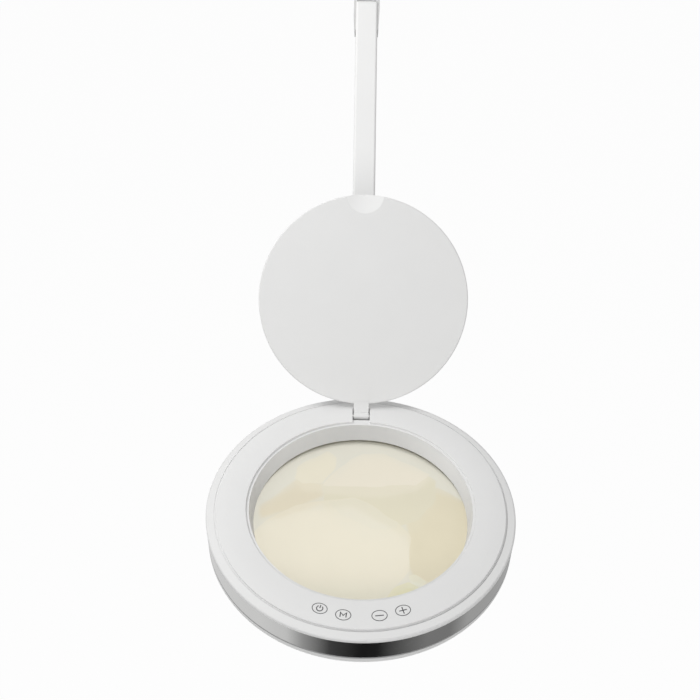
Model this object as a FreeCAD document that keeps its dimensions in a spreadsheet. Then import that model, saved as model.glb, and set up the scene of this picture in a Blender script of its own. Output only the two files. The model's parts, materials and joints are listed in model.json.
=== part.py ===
import FreeCAD, Part
import math
import os

import Sketcher

# Beauty treatment lamp: a round magnifier head with a flip-up lens cover, a neck that tilts and swivels,
# two square arms joined by an elbow, and a clamp for the edge of a table.
#
# Frame: millimetres, +Z up. The origin is the middle of the rubber face that rests on the table top,
# the head hovers over the table towards -Y, and +X is to the right of somebody who faces the lamp.
# The model stands in the pose of use: head level, upper arm rising to the elbow, lower arm upright.

SIZES = (
    # Head: outline of the upper shell, seen in section
    ("ring_width", 23.4, "width of the raised ring round the cover's recess"),
    ("border_width", 7.7, "width of the lower border outside the raised ring"),
    ("rim_drop", 1.8, "lower edge of the upper shell under the rim plane"),
    ("rim_round", 2.0, "rounding of the outer rim"),
    ("rim_fall", 0.8, "fall of the outer border from the step to the rim"),
    ("step_foot", 2.0, "foot of the step over the rim plane"),
    ("crown_edge", 3.4, "edges of the raised ring over the rim plane"),
    ("crown_rise", 0.6, "camber of the raised ring"),
    ("edge_break", 0.4, "broken edges of the raised ring"),
    ("groove_width", 1.4, "groove round the foot of the step"),
    ("groove_depth", 0.6, "depth of that groove under the step's foot"),
    ("shell_wall", 2.2, "wall of the head's shells"),
    ("rabbet_depth", 1.8, "depth of the recess that takes the closed cover"),
    ("ledge_width", 2.1, "width of the ledge under the closed cover"),
    ("skirt_inset", 1.5, "skirt of the upper shell inside the head radius"),
    ("skirt_depth", 17.0, "lower edge of that skirt under the rim plane"),
    # Lens and what holds it
    ("view_inset", 3.5, "shell over the edge of the lens"),
    ("wall_flare", 2.8, "flare of the wall over the lens"),
    ("lens_seat_depth", 13.9, "seat over the lens under the rim plane"),
    ("lens_radius", 87.5, "radius of the lens"),
    ("lens_curve", 348.6, "radius of both spherical faces, three dioptres in crown glass"),
    ("lens_edge", 2.6, "thickness of the lens at its edge"),
    ("lens_drop", 1.3, "upper edge of the lens under its seat"),
    ("gasket_height", 5.1, "height of the channel gasket"),
    ("gasket_wall", 0.8, "gasket outside the lens edge"),
    ("gasket_lip", 3.0, "gasket over the faces of the lens"),
    ("collar_gap", 0.2, "gap between gasket and collar"),
    ("collar_width", 6.0, "radial width of the collar round the gasket"),
    ("retainer_wall", 2.2, "thickness of the lens retainer"),
    ("retainer_lap", 2.5, "lens retainer under the edge of the lens"),
    # Chrome band
    ("band_height", 18.4, "height of the bright band"),
    ("band_wall", 1.2, "thickness of the bright band"),
    ("band_gap", 0.1, "gap between the band and what it lies on"),
    # Lower shell, light ring and boards
    ("web_drop", 23.5, "upper face of the lower shell's web under the rim plane"),
    ("web_wall", 1.8, "thickness of that web"),
    ("lip_drop", 28.7, "foot of the lower lip under the rim plane"),
    ("lip_round", 4.0, "rounding of the lower lip"),
    ("under_drop", 30.5, "underside of the head under the rim plane"),
    ("flare", 1.2, "flare of the lower opening"),
    ("inner_lip", 1.9, "lip between the lower opening and the diffuser ring"),
    ("diffuser_width", 16.0, "width of the diffuser ring"),
    ("diffuser_wall", 2.0, "thickness of the diffuser ring"),
    ("diffuser_gap", 0.2, "gap round the diffuser ring"),
    ("shoulder", 1.8, "shoulders that carry the diffuser ring"),
    ("board_wall", 1.6, "thickness of the light ring's board"),
    ("board_gap", 0.3, "gap beside the light ring's board"),
    ("led_count", 60, "light emitting diodes on the board"),
    ("led_length", 3.5, "length of one diode"),
    ("led_width", 2.8, "width of one diode"),
    ("led_height", 1.0, "height of one diode"),
    ("touch_inset", 5.0, "touch board inside both edges of the raised ring"),
    ("touch_wall", 1.2, "thickness of the touch board"),
    ("touch_half_angle", 24.0, "half of the touch board's arc"),
    ("driver_gap", 3.0, "gap between the driver board and the walls beside it"),
    ("driver_start_angle", 127.0, "start of the driver board's arc"),
    ("driver_end_angle", 171.0, "end of the driver board's arc"),
    ("coil_radius", 4.5, "radius of the coils on the driver board"),
    ("coil_height", 7.0, "height of the coils on the driver board"),
    # Small screws of the head
    ("screw_count", 6, "screws in each circle"),
    ("screw_radius", 1.25, "shank radius of the small screws"),
    ("screw_play", 0.05, "play round the small screws"),
    ("screw_head_radius", 2.6, "head radius of the small screws"),
    ("screw_head_height", 1.6, "head height of the small screws"),
    ("retainer_bite", 4.0, "length of the retainer screws in the collar"),
    ("shell_screw_inset", 3.8, "shell screws outside the diffuser's recess"),
    ("shell_bite", 11.0, "length of the shell screws in their bosses"),
    ("shell_boss_radius", 3.5, "radius of the bosses for the shell screws"),
    ("counterbore_depth", 26.5, "seat of the shell screws' heads under the rim plane"),
    # Lens cover and its hinge
    ("cover_gap", 0.7, "gap round the closed cover"),
    ("cover_wall", 2.4, "thickness of the lens cover"),
    ("cover_bevel", 0.8, "bevel round the lens cover"),
    ("cover_seat", 0.2, "gap between the closed cover and its ledge"),
    ("cover_angle", 125.0, "angle of the open cover from closed"),
    ("hinge_setback", 9.4, "hinge axis behind the edge of the cover's recess"),
    ("hinge_lift", 0.9, "hinge axis over the rim plane"),
    ("barrel_radius", 3.0, "radius of the hinge barrel"),
    ("hinge_pin_radius", 1.0, "radius of the hinge pin"),
    ("hinge_pin_play", 0.05, "play of the barrel on the pin"),
    ("hinge_cheek", 5.0, "hinge block beside the slot"),
    ("tab_width", 12.7, "width of the hinge tab"),
    ("tab_root", 13.8, "length of the tab's raised root on the cover"),
    ("tab_root_rise", 0.3, "height of that root"),
    ("slot_side", 0.9, "gap beside the hinge tab"),
    ("slot_front", 5.9, "hinge slot in front of the axis"),
    ("slot_back", 6.3, "hinge slot behind the axis"),
    ("slot_floor", 0.3, "gap under the hinge barrel"),
    ("slot_wall", 1.2, "floor under the hinge slot"),
    ("notch_radius", 15.8, "radius of the finger notch on the cover's face"),
    ("notch_depth", 1.6, "depth of the finger notch"),
    # Neck between head and upper arm
    ("neck_drop", 11.2, "neck axis under the rim plane"),
    ("neck_length", 23.0, "tilt axis behind the neck boss"),
    ("boss_width", 46.0, "width of the neck boss"),
    ("boss_height", 16.5, "height of the neck boss"),
    ("boss_depth", 11.0, "neck boss behind the head radius"),
    ("boss_round", 5.0, "rounded corners of the neck boss"),
    ("boss_seat", 8.5, "flat seat inside the head radius"),
    ("boss_seat_wall", 5.0, "thickness of the block behind that seat"),
    ("boss_seat_width", 40.0, "width of that block"),
    ("boss_screw_radius", 1.6, "shank radius of the boss screws"),
    ("boss_screw_spread", 30.0, "distance between the boss screws"),
    ("boss_screw_bite", 14.0, "length of the boss screws behind their seat"),
    ("spindle_radius", 4.0, "radius of the neck spindle"),
    ("spindle_bite", 7.0, "spindle inside the tilt fork"),
    ("nut_radius", 7.5, "corner radius of the spindle nut"),
    ("nut_height", 4.0, "height of the spindle nut"),
    ("spindle_washer_radius", 7.4, "radius of the spindle washer"),
    ("spindle_washer_wall", 0.8, "thickness of the spindle washer"),
    ("running_gap", 0.2, "gap between faces that turn on each other"),
    ("overshoot", 1.0, "cuts run this far past what they open"),
    # Pivots, shared by neck, elbow and base
    ("pivot_radius", 4.0, "radius of the pivot bolts"),
    ("pivot_play", 0.05, "play of the turning parts on the bolts"),
    ("bolt_head_radius", 7.0, "radius of the bolt heads"),
    ("bolt_head_height", 3.2, "height of the bolt heads"),
    ("eye_radius", 10.2, "radius of the arm eyes"),
    ("stem_height", 15.0, "height of the stem between eye and tube"),
    ("washer_wall", 0.5, "thickness of the friction washers"),
    ("washer_radius", 9.4, "radius of the friction washers"),
    ("side_play", 0.05, "play beside the friction washers"),
    ("fork_ear", 5.0, "thickness of the fork ears"),
    ("fork_radius", 11.0, "radius of the fork ears"),
    ("fork_floor", 14.0, "floor of the fork under its axis"),
    ("knob_radius", 13.0, "radius of the tightening knobs"),
    ("knob_length", 15.0, "length of the tightening knobs"),
    ("knob_lobes", 6, "lobes of the knobs"),
    # Arms
    ("arm_width", 20.5, "width and height of the upper tube"),
    ("lower_arm_width", 18.5, "width and height of the lower tube"),
    ("tube_wall", 1.5, "wall of the tubes"),
    ("tube_corner", 2.2, "outer corner radius of the tubes"),
    ("arm_angle", 39.0, "rise of the upper arm from the neck to the elbow"),
    ("upper_arm_length", 394.0, "upper arm between its axes"),
    ("lower_arm_length", 400.0, "lower arm between its axes"),
    ("tube_setback", 24.0, "tube end from the neck or base axis"),
    ("elbow_setback", 32.0, "tube end from the elbow axis"),
    ("flange_wall", 2.0, "flange of the end fittings"),
    ("plug_length", 20.0, "end fitting inside the tube"),
    ("plug_play", 0.1, "gap between end fitting and tube"),
    ("lead_radius", 2.3, "radius of the lead in the tubes"),
    ("cheek_wall", 2.0, "thickness of the elbow cheeks"),
    ("cheek_overlap", 26.0, "cheek beside the upper tube"),
    ("cheek_height", 17.0, "height of the cheeks"),
    ("cheek_round", 3.0, "corner radius of the cheeks"),
    ("cheek_radius", 12.0, "round end of the cheeks"),
    ("cheek_taper", 22.0, "length of the thinned end of the cheeks"),
    ("cheek_thin", 0.9, "thickness at the thinned end"),
    ("cheek_screw_pitch", 8.0, "distance between the cheek screws"),
    ("cheek_screw_radius", 1.5, "shank radius of the cheek screws"),
    ("cheek_screw_head", 2.8, "head radius of the cheek screws"),
    ("cheek_head_height", 0.7, "head height of the cheek screws"),
    ("cheek_seat", 0.5, "thickness of the cheek under the screw heads"),
    ("inlet_height", 60.0, "power inlet over the base axis"),
    ("inlet_flange_radius", 6.0, "flange radius of the power inlet"),
    ("inlet_flange_wall", 1.5, "flange thickness of the power inlet"),
    ("inlet_body_radius", 4.2, "body radius of the power inlet"),
    ("inlet_body_length", 6.0, "body of the power inlet inside the tube"),
    ("inlet_bore_radius", 2.75, "bore of the power inlet"),
    ("inlet_bore_depth", 6.5, "depth of that bore"),
    ("inlet_pin_radius", 1.0, "centre pin of the power inlet"),
    # Base: swivel and table clamp
    ("pin_setback", 37.0, "swivel axis behind the middle of the jaw"),
    ("base_axis_height", 62.0, "base axis over the table face"),
    ("spigot_radius", 6.0, "radius of the swivel spigot"),
    ("spigot_foot", 30.0, "lower end of the spigot under the table face"),
    ("spigot_play", 0.05, "play of the spigot in its bush"),
    ("bush_wall", 2.0, "wall of the swivel bush"),
    ("bush_flange_radius", 12.0, "flange radius of the swivel bush"),
    ("bush_flange_wall", 1.5, "flange of the swivel bush"),
    ("barrel_top", 20.0, "top of the clamp barrel over the table face"),
    ("barrel_foot", 34.0, "foot of the clamp barrel under the table face"),
    ("clamp_barrel_radius", 14.0, "radius of the clamp barrel"),
    ("base_collar_radius", 14.0, "collar radius of the base fork"),
    ("base_yoke", 8.0, "base fork between its floor and its collar"),
    ("frame_width", 34.0, "width of the clamp frame"),
    ("jaw_tip", 27.0, "jaw in front of its middle"),
    ("throat_back", 22.0, "back of the throat behind the jaw's middle"),
    ("spine_wall", 12.0, "thickness of the clamp spine"),
    ("jaw_wall", 9.0, "thickness of the upper jaw"),
    ("throat_foot", 64.0, "foot of the throat under the table face"),
    ("lower_jaw_wall", 12.0, "thickness of the lower jaw"),
    ("frame_round", 6.0, "outer corners of the clamp frame"),
    ("jaw_pad_wall", 2.0, "thickness of the rubber on the jaw"),
    ("jaw_pad_width", 30.0, "width of the rubber on the jaw"),
    ("jaw_pad_length", 37.0, "length of the rubber on the jaw"),
    ("foot_drop", 42.0, "face of the foot under the table face"),
    ("foot_pad_wall", 2.0, "rubber on the foot"),
    ("foot_radius", 16.0, "radius of the pressure plate"),
    ("foot_wall", 3.0, "thickness of the pressure plate"),
    ("foot_hub_radius", 8.0, "hub radius of the pressure plate"),
    ("foot_hub_height", 8.0, "hub height of the pressure plate"),
    ("screw_tip_radius", 3.5, "tip radius of the clamp screw"),
    ("clamp_screw_radius", 5.0, "radius of the clamp screw"),
    ("clamp_screw_length", 84.0, "clamp screw under the hub"),
    ("clamp_knob_radius", 20.0, "radius of the clamp knob"),
    ("clamp_knob_length", 24.0, "length of the clamp knob"),
    ("lock_drop", 6.0, "lock screw under the table face"),
    ("lock_radius", 3.0, "radius of the lock screw"),
    ("lock_length", 24.0, "length of the lock screw"),
    ("lock_knob_radius", 9.0, "radius of the lock knob"),
    ("lock_knob_length", 11.0, "length of the lock knob"),
)

CCW = 1
CW = -1
TURN = 360.0
UPRIGHT = 90.0
TINY = 0.001

# A knob's form, as shares of its radius and of its length
KNOB_HUB = 0.62
KNOB_CORNER = 0.16
KNOB_FACE = 0.45
FLUTE_RADIUS = 0.3
FLUTE_REACH = 1.13
KNOB_NECK = 0.15
KNOB_FLARE = 0.25
KNOB_BORE = 0.75
BOLT_BITE = 0.7

doc = FreeCAD.newDocument("TreatmentLamp")
parts = {}


class Quantity:
    """A length, angle or count: its value now, and the expression that the document keeps for it."""

    def __init__(self, value, text):
        self.value = value
        self.text = text

    def __add__(self, other):
        other = quantity(other)
        return Quantity(self.value + other.value, "(%s + %s)" % (self.text, other.text))

    def __radd__(self, other):
        return quantity(other) + self

    def __sub__(self, other):
        other = quantity(other)
        return Quantity(self.value - other.value, "(%s - %s)" % (self.text, other.text))

    def __rsub__(self, other):
        return quantity(other) - self

    def __mul__(self, other):
        other = quantity(other)
        return Quantity(self.value * other.value, "(%s * %s)" % (self.text, other.text))

    def __rmul__(self, other):
        return quantity(other) * self

    def __truediv__(self, other):
        other = quantity(other)
        return Quantity(self.value / other.value, "(%s / %s)" % (self.text, other.text))

    def __neg__(self):
        return Quantity(-self.value, "(-1 * %s)" % self.text)

    def root(self):
        return Quantity(math.sqrt(self.value), "sqrt(%s)" % self.text)

    def cos(self):
        return Quantity(math.cos(math.radians(self.value)), "cos(%s)" % self.text)

    def sin(self):
        return Quantity(math.sin(math.radians(self.value)), "sin(%s)" % self.text)


def quantity(value):
    return value if isinstance(value, Quantity) else Quantity(float(value), "%.6g" % value)


class SizeTable:
    """Gives each driving dimension as a Quantity under its own name."""

    def __init__(self, rows):
        for alias, value, _ in rows:
            setattr(self, alias, Quantity(float(value), "Sizes." + alias))


def write_sheet(rows):
    sheet = doc.addObject("Spreadsheet::Sheet", "Sizes")
    for row, (alias, value, words) in enumerate(rows, start=1):
        sheet.set("A%d" % row, words)
        sheet.set("B%d" % row, str(value))
        sheet.setAlias("B%d" % row, alias)
    doc.recompute()


# Sketches and features

def new_body(name, group=False):
    body = doc.addObject("PartDesign::Body", name)
    body.Label = name
    body.AllowCompound = group
    parts[name] = body
    return body


def origin_feature(body, role):
    return next(feature for feature in body.Origin.OriginFeatures if feature.Role == role)


def new_sketch(body, role, height=0, shift=0):
    """A sketch on an origin plane, moved by height along its normal and by shift along its own x."""
    sketch = body.newObject("Sketcher::SketchObject", body.Name + "_sketch")
    sketch.AttachmentSupport = [(origin_feature(body, role), "")]
    sketch.MapMode = "FlatFace"
    height, shift = quantity(height), quantity(shift)
    sketch.AttachmentOffset = FreeCAD.Placement(FreeCAD.Vector(shift.value, 0, height.value), FreeCAD.Rotation())
    sketch.setExpression("AttachmentOffset.Base.x", shift.text)
    sketch.setExpression("AttachmentOffset.Base.z", height.text)
    return sketch


def bind(sketch, constraint, size):
    index = sketch.addConstraint(constraint)
    sketch.setExpression("Constraints[%d]" % index, size.text)


def pin_down(sketch, edge, point, x, y):
    bind(sketch, Sketcher.Constraint("DistanceX", -1, 1, edge, point, x.value), x)
    bind(sketch, Sketcher.Constraint("DistanceY", -1, 1, edge, point, y.value), y)


def arc_between(start, end, radius, turn):
    """The shorter arc from start to end, which turns counter-clockwise for CCW."""
    chord = end - start
    rise = math.sqrt(max(radius ** 2 - (chord.Length / 2) ** 2, 0))
    left = FreeCAD.Vector(-chord.y, chord.x, 0).normalize()
    centre = (start + end) / 2 + left * (rise * turn)
    first, last = (start, end) if turn == CCW else (end, start)
    angles = [math.atan2(point.y - centre.y, point.x - centre.x) for point in (first, last)]
    return Part.ArcOfCircle(Part.Circle(centre, FreeCAD.Vector(0, 0, 1), radius), *angles)


def outline(sketch, steps):
    """A closed outline. Each step ends an edge: (x, y) a straight one, (x, y, radius, turn) an arc."""
    corners = [(quantity(step[0]), quantity(step[1])) for step in steps]
    points = [FreeCAD.Vector(x.value, y.value, 0) for x, y in corners]
    edges = []
    for index, step in enumerate(steps):
        start, end = points[index - 1], points[index]
        if len(step) == 2:
            edges.append((sketch.addGeometry(Part.LineSegment(start, end), False), 1, 2))
            continue
        radius, turn = quantity(step[2]), step[3]
        edge = sketch.addGeometry(arc_between(start, end, radius.value, turn), False)
        bind(sketch, Sketcher.Constraint("Radius", edge, radius.value), radius)
        edges.append((edge, 1, 2) if turn == CCW else (edge, 2, 1))
    for index, (edge, _, end_point) in enumerate(edges):
        following, start_point, _ = edges[(index + 1) % len(edges)]
        sketch.addConstraint(Sketcher.Constraint("Coincident", edge, end_point, following, start_point))
        pin_down(sketch, edge, end_point, *corners[index])


def circle(sketch, radius, x=0, y=0):
    radius, x, y = quantity(radius), quantity(x), quantity(y)
    centre = FreeCAD.Vector(x.value, y.value, 0)
    edge = sketch.addGeometry(Part.Circle(centre, FreeCAD.Vector(0, 0, 1), radius.value), False)
    bind(sketch, Sketcher.Constraint("Radius", edge, radius.value), radius)
    pin_down(sketch, edge, 3, x, y)


def rectangle(sketch, left, bottom, right, top):
    outline(sketch, [(right, bottom), (right, top), (left, top), (left, bottom)])


def rounded_square(sketch, width, corner):
    half, inner = width / 2, width / 2 - corner
    outline(sketch, [
        (inner, -half), (half, -inner, corner, CCW),
        (half, inner), (inner, half, corner, CCW),
        (-inner, half), (-half, inner, corner, CCW),
        (-half, -inner), (-inner, -half, corner, CCW),
    ])


def sector(sketch, inner, outer, start, end):
    """A ring sector between two angles, its long arcs in two halves."""
    middle = (start + end) / 2
    outline(sketch, [
        (outer * start.cos(), outer * start.sin()),
        (outer * middle.cos(), outer * middle.sin(), outer, CCW),
        (outer * end.cos(), outer * end.sin(), outer, CCW),
        (inner * end.cos(), inner * end.sin()),
        (inner * middle.cos(), inner * middle.sin(), inner, CW),
        (inner * start.cos(), inner * start.sin(), inner, CW),
    ])


def settle(body, feature, volume_before, cuts):
    """Recomputes and makes sure that the feature added or removed something."""
    body.Tip = feature
    doc.recompute()
    change = feature.Shape.Volume - volume_before
    if (change > 0) == cuts or abs(change) < TINY:
        raise RuntimeError("%s changes nothing in %s" % (feature.Name, body.Name))
    return feature


def volume_of(body):
    return body.Tip.Shape.Volume if body.Tip else 0.0


def extrude(body, sketch, length, cuts=False, both=False, back=False):
    before = volume_of(body)
    kind = "PartDesign::Pocket" if cuts else "PartDesign::Pad"
    feature = body.newObject(kind, body.Name + ("_pocket" if cuts else "_pad"))
    feature.Profile = sketch
    length = quantity(length)
    feature.Length = length.value
    feature.setExpression("Length", length.text)
    feature.SideType = "Symmetric" if both else "One side"
    feature.Reversed = back
    return settle(body, feature, before, cuts)


def pad(body, sketch, length, both=False, back=False):
    return extrude(body, sketch, length, False, both, back)


def cut(body, sketch, length, both=False, back=False):
    return extrude(body, sketch, length, True, both, back)


def revolve(body, sketch, axis="V_Axis", cuts=False):
    before = volume_of(body)
    kind = "PartDesign::Groove" if cuts else "PartDesign::Revolution"
    feature = body.newObject(kind, body.Name + ("_groove" if cuts else "_revolution"))
    feature.Profile = sketch
    feature.ReferenceAxis = (sketch, [axis])
    feature.Angle = TURN
    return settle(body, feature, before, cuts)


def repeat_round(body, feature, axis_role, count, cuts):
    before = volume_of(body)
    pattern = body.newObject("PartDesign::PolarPattern", body.Name + "_pattern")
    pattern.Originals = [feature]
    pattern.Axis = (origin_feature(body, axis_role), [""])
    pattern.Angle = TURN
    pattern.Occurrences = int(round(count.value))
    pattern.setExpression("Occurrences", count.text)
    return settle(body, pattern, before, cuts)


def break_edges(body, size, chosen, rounded=True):
    """Rounds or bevels the edges of the body's tip that the test picks."""
    before = volume_of(body)
    base = body.Tip
    names = ["Edge%d" % (index + 1) for index, edge in enumerate(base.Shape.Edges) if chosen(edge)]
    kind = "PartDesign::Fillet" if rounded else "PartDesign::Chamfer"
    feature = body.newObject(kind, body.Name + ("_fillet" if rounded else "_chamfer"))
    feature.Base = (base, names)
    name = "Radius" if rounded else "Size"
    setattr(feature, name, size.value)
    feature.setExpression(name, size.text)
    body.Tip = feature
    doc.recompute()
    if abs(feature.Shape.Volume - before) < TINY:
        raise RuntimeError("%s changes nothing in %s" % (feature.Name, body.Name))
    return feature


def place(body, position, axis=(1, 0, 0), angle=0):
    """Puts a body's own frame at a position of the lamp, turned by an angle about an axis."""
    x, y, z = (quantity(value) for value in position)
    angle = quantity(angle)
    body.Placement = FreeCAD.Placement(
        FreeCAD.Vector(x.value, y.value, z.value),
        FreeCAD.Rotation(FreeCAD.Vector(*axis), angle.value),
    )
    body.setExpression("Placement.Base.x", x.text)
    body.setExpression("Placement.Base.y", y.text)
    body.setExpression("Placement.Base.z", z.text)
    if angle.value:
        body.setExpression("Placement.Rotation.Angle", angle.text)


write_sheet(SIZES)
s = SizeTable(SIZES)

# Places that several pieces share. Heights in the head are over the rim plane, the head's own zero.

view_radius = s.lens_radius - s.view_inset
ledge_inner = view_radius + s.wall_flare
rabbet_radius = ledge_inner + s.ledge_width
cover_radius = rabbet_radius - s.cover_gap
step_radius = rabbet_radius + s.ring_width
head_radius = step_radius + s.border_width
hinge_reach = rabbet_radius + s.hinge_setback
ledge_height = s.crown_edge - s.rabbet_depth
under_crown = s.crown_edge - s.shell_wall
seat_height = -s.lens_seat_depth
gasket_foot = seat_height - s.gasket_height
gasket_outer = s.lens_radius + s.gasket_wall
collar_inner = gasket_outer + s.collar_gap
collar_outer = collar_inner + s.collar_width
retainer_circle = (collar_inner + collar_outer) / 2
retainer_inner = s.lens_radius - s.retainer_lap
lens_top_edge = seat_height - s.lens_drop
lens_foot_edge = lens_top_edge - s.lens_edge
retainer_foot = gasket_foot - s.retainer_wall
skirt_outer = head_radius - s.skirt_inset
skirt_inner = skirt_outer - s.shell_wall
band_inner = skirt_outer + s.band_gap
band_foot = -s.rim_drop - s.band_height
web_top = -s.web_drop
web_foot = web_top - s.web_wall
mouth_radius = retainer_inner + s.band_gap * 2
recess_inner = mouth_radius + s.shell_wall + s.inner_lip
diffuser_inner = recess_inner + s.diffuser_gap
diffuser_outer = diffuser_inner + s.diffuser_width
recess_outer = diffuser_outer + s.diffuser_gap
shell_circle = recess_outer + s.shell_screw_inset
tray_inner = recess_inner + s.shoulder
tray_outer = recess_outer - s.shoulder
shoulder_height = -s.under_drop + s.diffuser_wall + s.diffuser_gap
light_circle = (tray_inner + tray_outer) / 2
board_foot = web_foot - s.board_wall
boss_back = head_radius + s.boss_depth
neck_reach = boss_back + s.neck_length
seat_reach = head_radius - s.boss_seat
eye_half = s.arm_width / 2 - s.washer_wall - s.side_play
ear_inner = s.arm_width / 2
ear_outer = ear_inner + s.fork_ear
cheek_outer = ear_inner + s.cheek_wall
upper_tube_end = s.upper_arm_length - s.elbow_setback
lower_tube_end = s.lower_arm_length - s.elbow_setback

base_axis = (quantity(0), s.pin_setback, s.base_axis_height)
elbow_axis = (quantity(0), s.pin_setback, s.base_axis_height + s.lower_arm_length)
tilt_axis = (
    quantity(0),
    elbow_axis[1] - s.upper_arm_length * s.arm_angle.cos(),
    elbow_axis[2] - s.upper_arm_length * s.arm_angle.sin(),
)
head_origin = (quantity(0), tilt_axis[1] - neck_reach, tilt_axis[2] + s.neck_drop)


def in_head(body):
    place(body, head_origin)


def in_upper_arm(body):
    place(body, tilt_axis, (1, 0, 0), s.arm_angle)


def in_lower_arm(body):
    place(body, base_axis, (1, 0, 0), UPRIGHT)


# Head: shells, band, lens and what holds it

def screw_circle(sketch, radius, circle_radius):
    """One small circle for each screw of a head circle."""
    for index in range(int(s.screw_count.value)):
        angle = quantity(index) * TURN / s.screw_count
        circle(sketch, radius, circle_radius * angle.cos(), circle_radius * angle.sin())


def top_shell():
    """The upper shell: cambered ring, outer border, rabbet, wall down to the lens, collar and skirt."""
    body = new_body("top_shell")
    section = new_sketch(body, "XZ_Plane")
    chord = step_radius - rabbet_radius - s.edge_break * 2
    camber = (chord * chord / 4 + s.crown_rise * s.crown_rise) / (s.crown_rise * 2)
    lean = (ledge_inner - view_radius) / (ledge_height - seat_height)
    wall_back = view_radius + s.shell_wall
    outline(section, [
        (view_radius, seat_height),
        (ledge_inner, ledge_height),
        (rabbet_radius, ledge_height),
        (rabbet_radius, s.crown_edge - s.edge_break),
        (rabbet_radius + s.edge_break, s.crown_edge),
        (step_radius - s.edge_break, s.crown_edge, camber, CW),
        (step_radius, s.crown_edge - s.edge_break),
        (step_radius, s.step_foot - s.groove_depth),
        (step_radius + s.groove_width, s.step_foot - s.groove_depth),
        (step_radius + s.groove_width, s.step_foot),
        (head_radius - s.rim_round, s.step_foot - s.rim_fall),
        (head_radius, s.step_foot - s.rim_fall - s.rim_round, s.rim_round, CW),
        (head_radius, -s.rim_drop),
        (skirt_outer, -s.rim_drop),
        (skirt_outer, -s.skirt_depth),
        (skirt_inner, -s.skirt_depth),
        (skirt_inner, s.step_foot - s.rim_fall - s.shell_wall),
        (step_radius - s.shell_wall, under_crown),
        (rabbet_radius + s.shell_wall, under_crown),
        (wall_back + lean * (ledge_height - s.shell_wall - seat_height), ledge_height - s.shell_wall),
        (wall_back + lean * s.shell_wall, seat_height + s.shell_wall),
        (collar_outer, seat_height + s.shell_wall),
        (collar_outer, gasket_foot),
        (collar_inner, gasket_foot),
        (collar_inner, seat_height),
    ])
    revolve(body, section)

    bosses = new_sketch(body, "XY_Plane", web_top)
    screw_circle(bosses, s.shell_boss_radius, shell_circle)
    pad(body, bosses, under_crown - web_top + s.edge_break / 4)

    # Hinge block under the crown at the back, with the slot for the tab and the hole for the pin
    block_half = s.tab_width / 2 + s.slot_side + s.hinge_cheek
    block_foot = s.hinge_lift - s.barrel_radius - s.slot_floor - s.slot_wall
    slot_near = hinge_reach - s.slot_front
    slot_far = hinge_reach + s.slot_back
    block = new_sketch(body, "XY_Plane", block_foot)
    rectangle(block, -block_half, slot_near - s.slot_wall, block_half, slot_far + s.slot_wall)
    pad(body, block, s.crown_edge - s.edge_break - block_foot)

    slot_half = s.tab_width / 2 + s.slot_side
    slot_foot = block_foot + s.slot_wall
    slot = new_sketch(body, "XY_Plane", slot_foot)
    rectangle(slot, -slot_half, slot_near, slot_half, slot_far)
    cut(body, slot, s.crown_edge + s.crown_rise * 2 - slot_foot, back=True)
    mouth = new_sketch(body, "XY_Plane", ledge_height)
    rectangle(mouth, -slot_half, ledge_inner, slot_half, slot_near + s.edge_break)
    cut(body, mouth, s.rabbet_depth + s.crown_rise * 2, back=True)
    pin_hole = new_sketch(body, "YZ_Plane")
    circle(pin_hole, s.hinge_pin_radius, hinge_reach, s.hinge_lift)
    cut(body, pin_hole, (block_half + s.overshoot) * 2, both=True)

    # Flat seat at the back for the neck, with the holes for the spindle and the boss screws
    seat = new_sketch(body, "XY_Plane", -s.skirt_depth)
    half = s.boss_seat_width / 2
    rectangle(seat, -half, seat_reach, half, seat_reach + s.boss_seat_wall)
    pad(body, seat, s.skirt_depth + s.step_foot - s.rim_fall - s.shell_wall)
    neck_holes(body)

    retainer_holes = new_sketch(body, "XY_Plane", gasket_foot)
    screw_circle(retainer_holes, s.screw_radius + s.screw_play, retainer_circle)
    cut(body, retainer_holes, s.retainer_bite + s.screw_play, back=True)
    shell_holes = new_sketch(body, "XY_Plane", web_top)
    screw_circle(shell_holes, s.screw_radius + s.screw_play, shell_circle)
    cut(body, shell_holes, s.shell_bite + s.screw_play, back=True)
    in_head(body)


def neck_holes(body):
    """Holes through the head's side at the back for the spindle and the boss screws."""
    start = seat_reach - s.overshoot
    holes = new_sketch(body, "XZ_Plane", -start)
    circle(holes, s.spindle_radius + s.pivot_play, 0, -s.neck_drop)
    for side in (-1, 1):
        circle(holes, s.boss_screw_radius + s.screw_play, s.boss_screw_spread / 2 * side, -s.neck_drop)
    cut(body, holes, head_radius - start + s.overshoot)


def chrome_band():
    """The mirror-bright band round the side, between the two shells."""
    body = new_body("chrome_band")
    section = new_sketch(body, "XZ_Plane")
    rectangle(section, band_inner, band_foot, band_inner + s.band_wall, -s.rim_drop)
    revolve(body, section)
    neck_holes(body)
    in_head(body)


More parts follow.
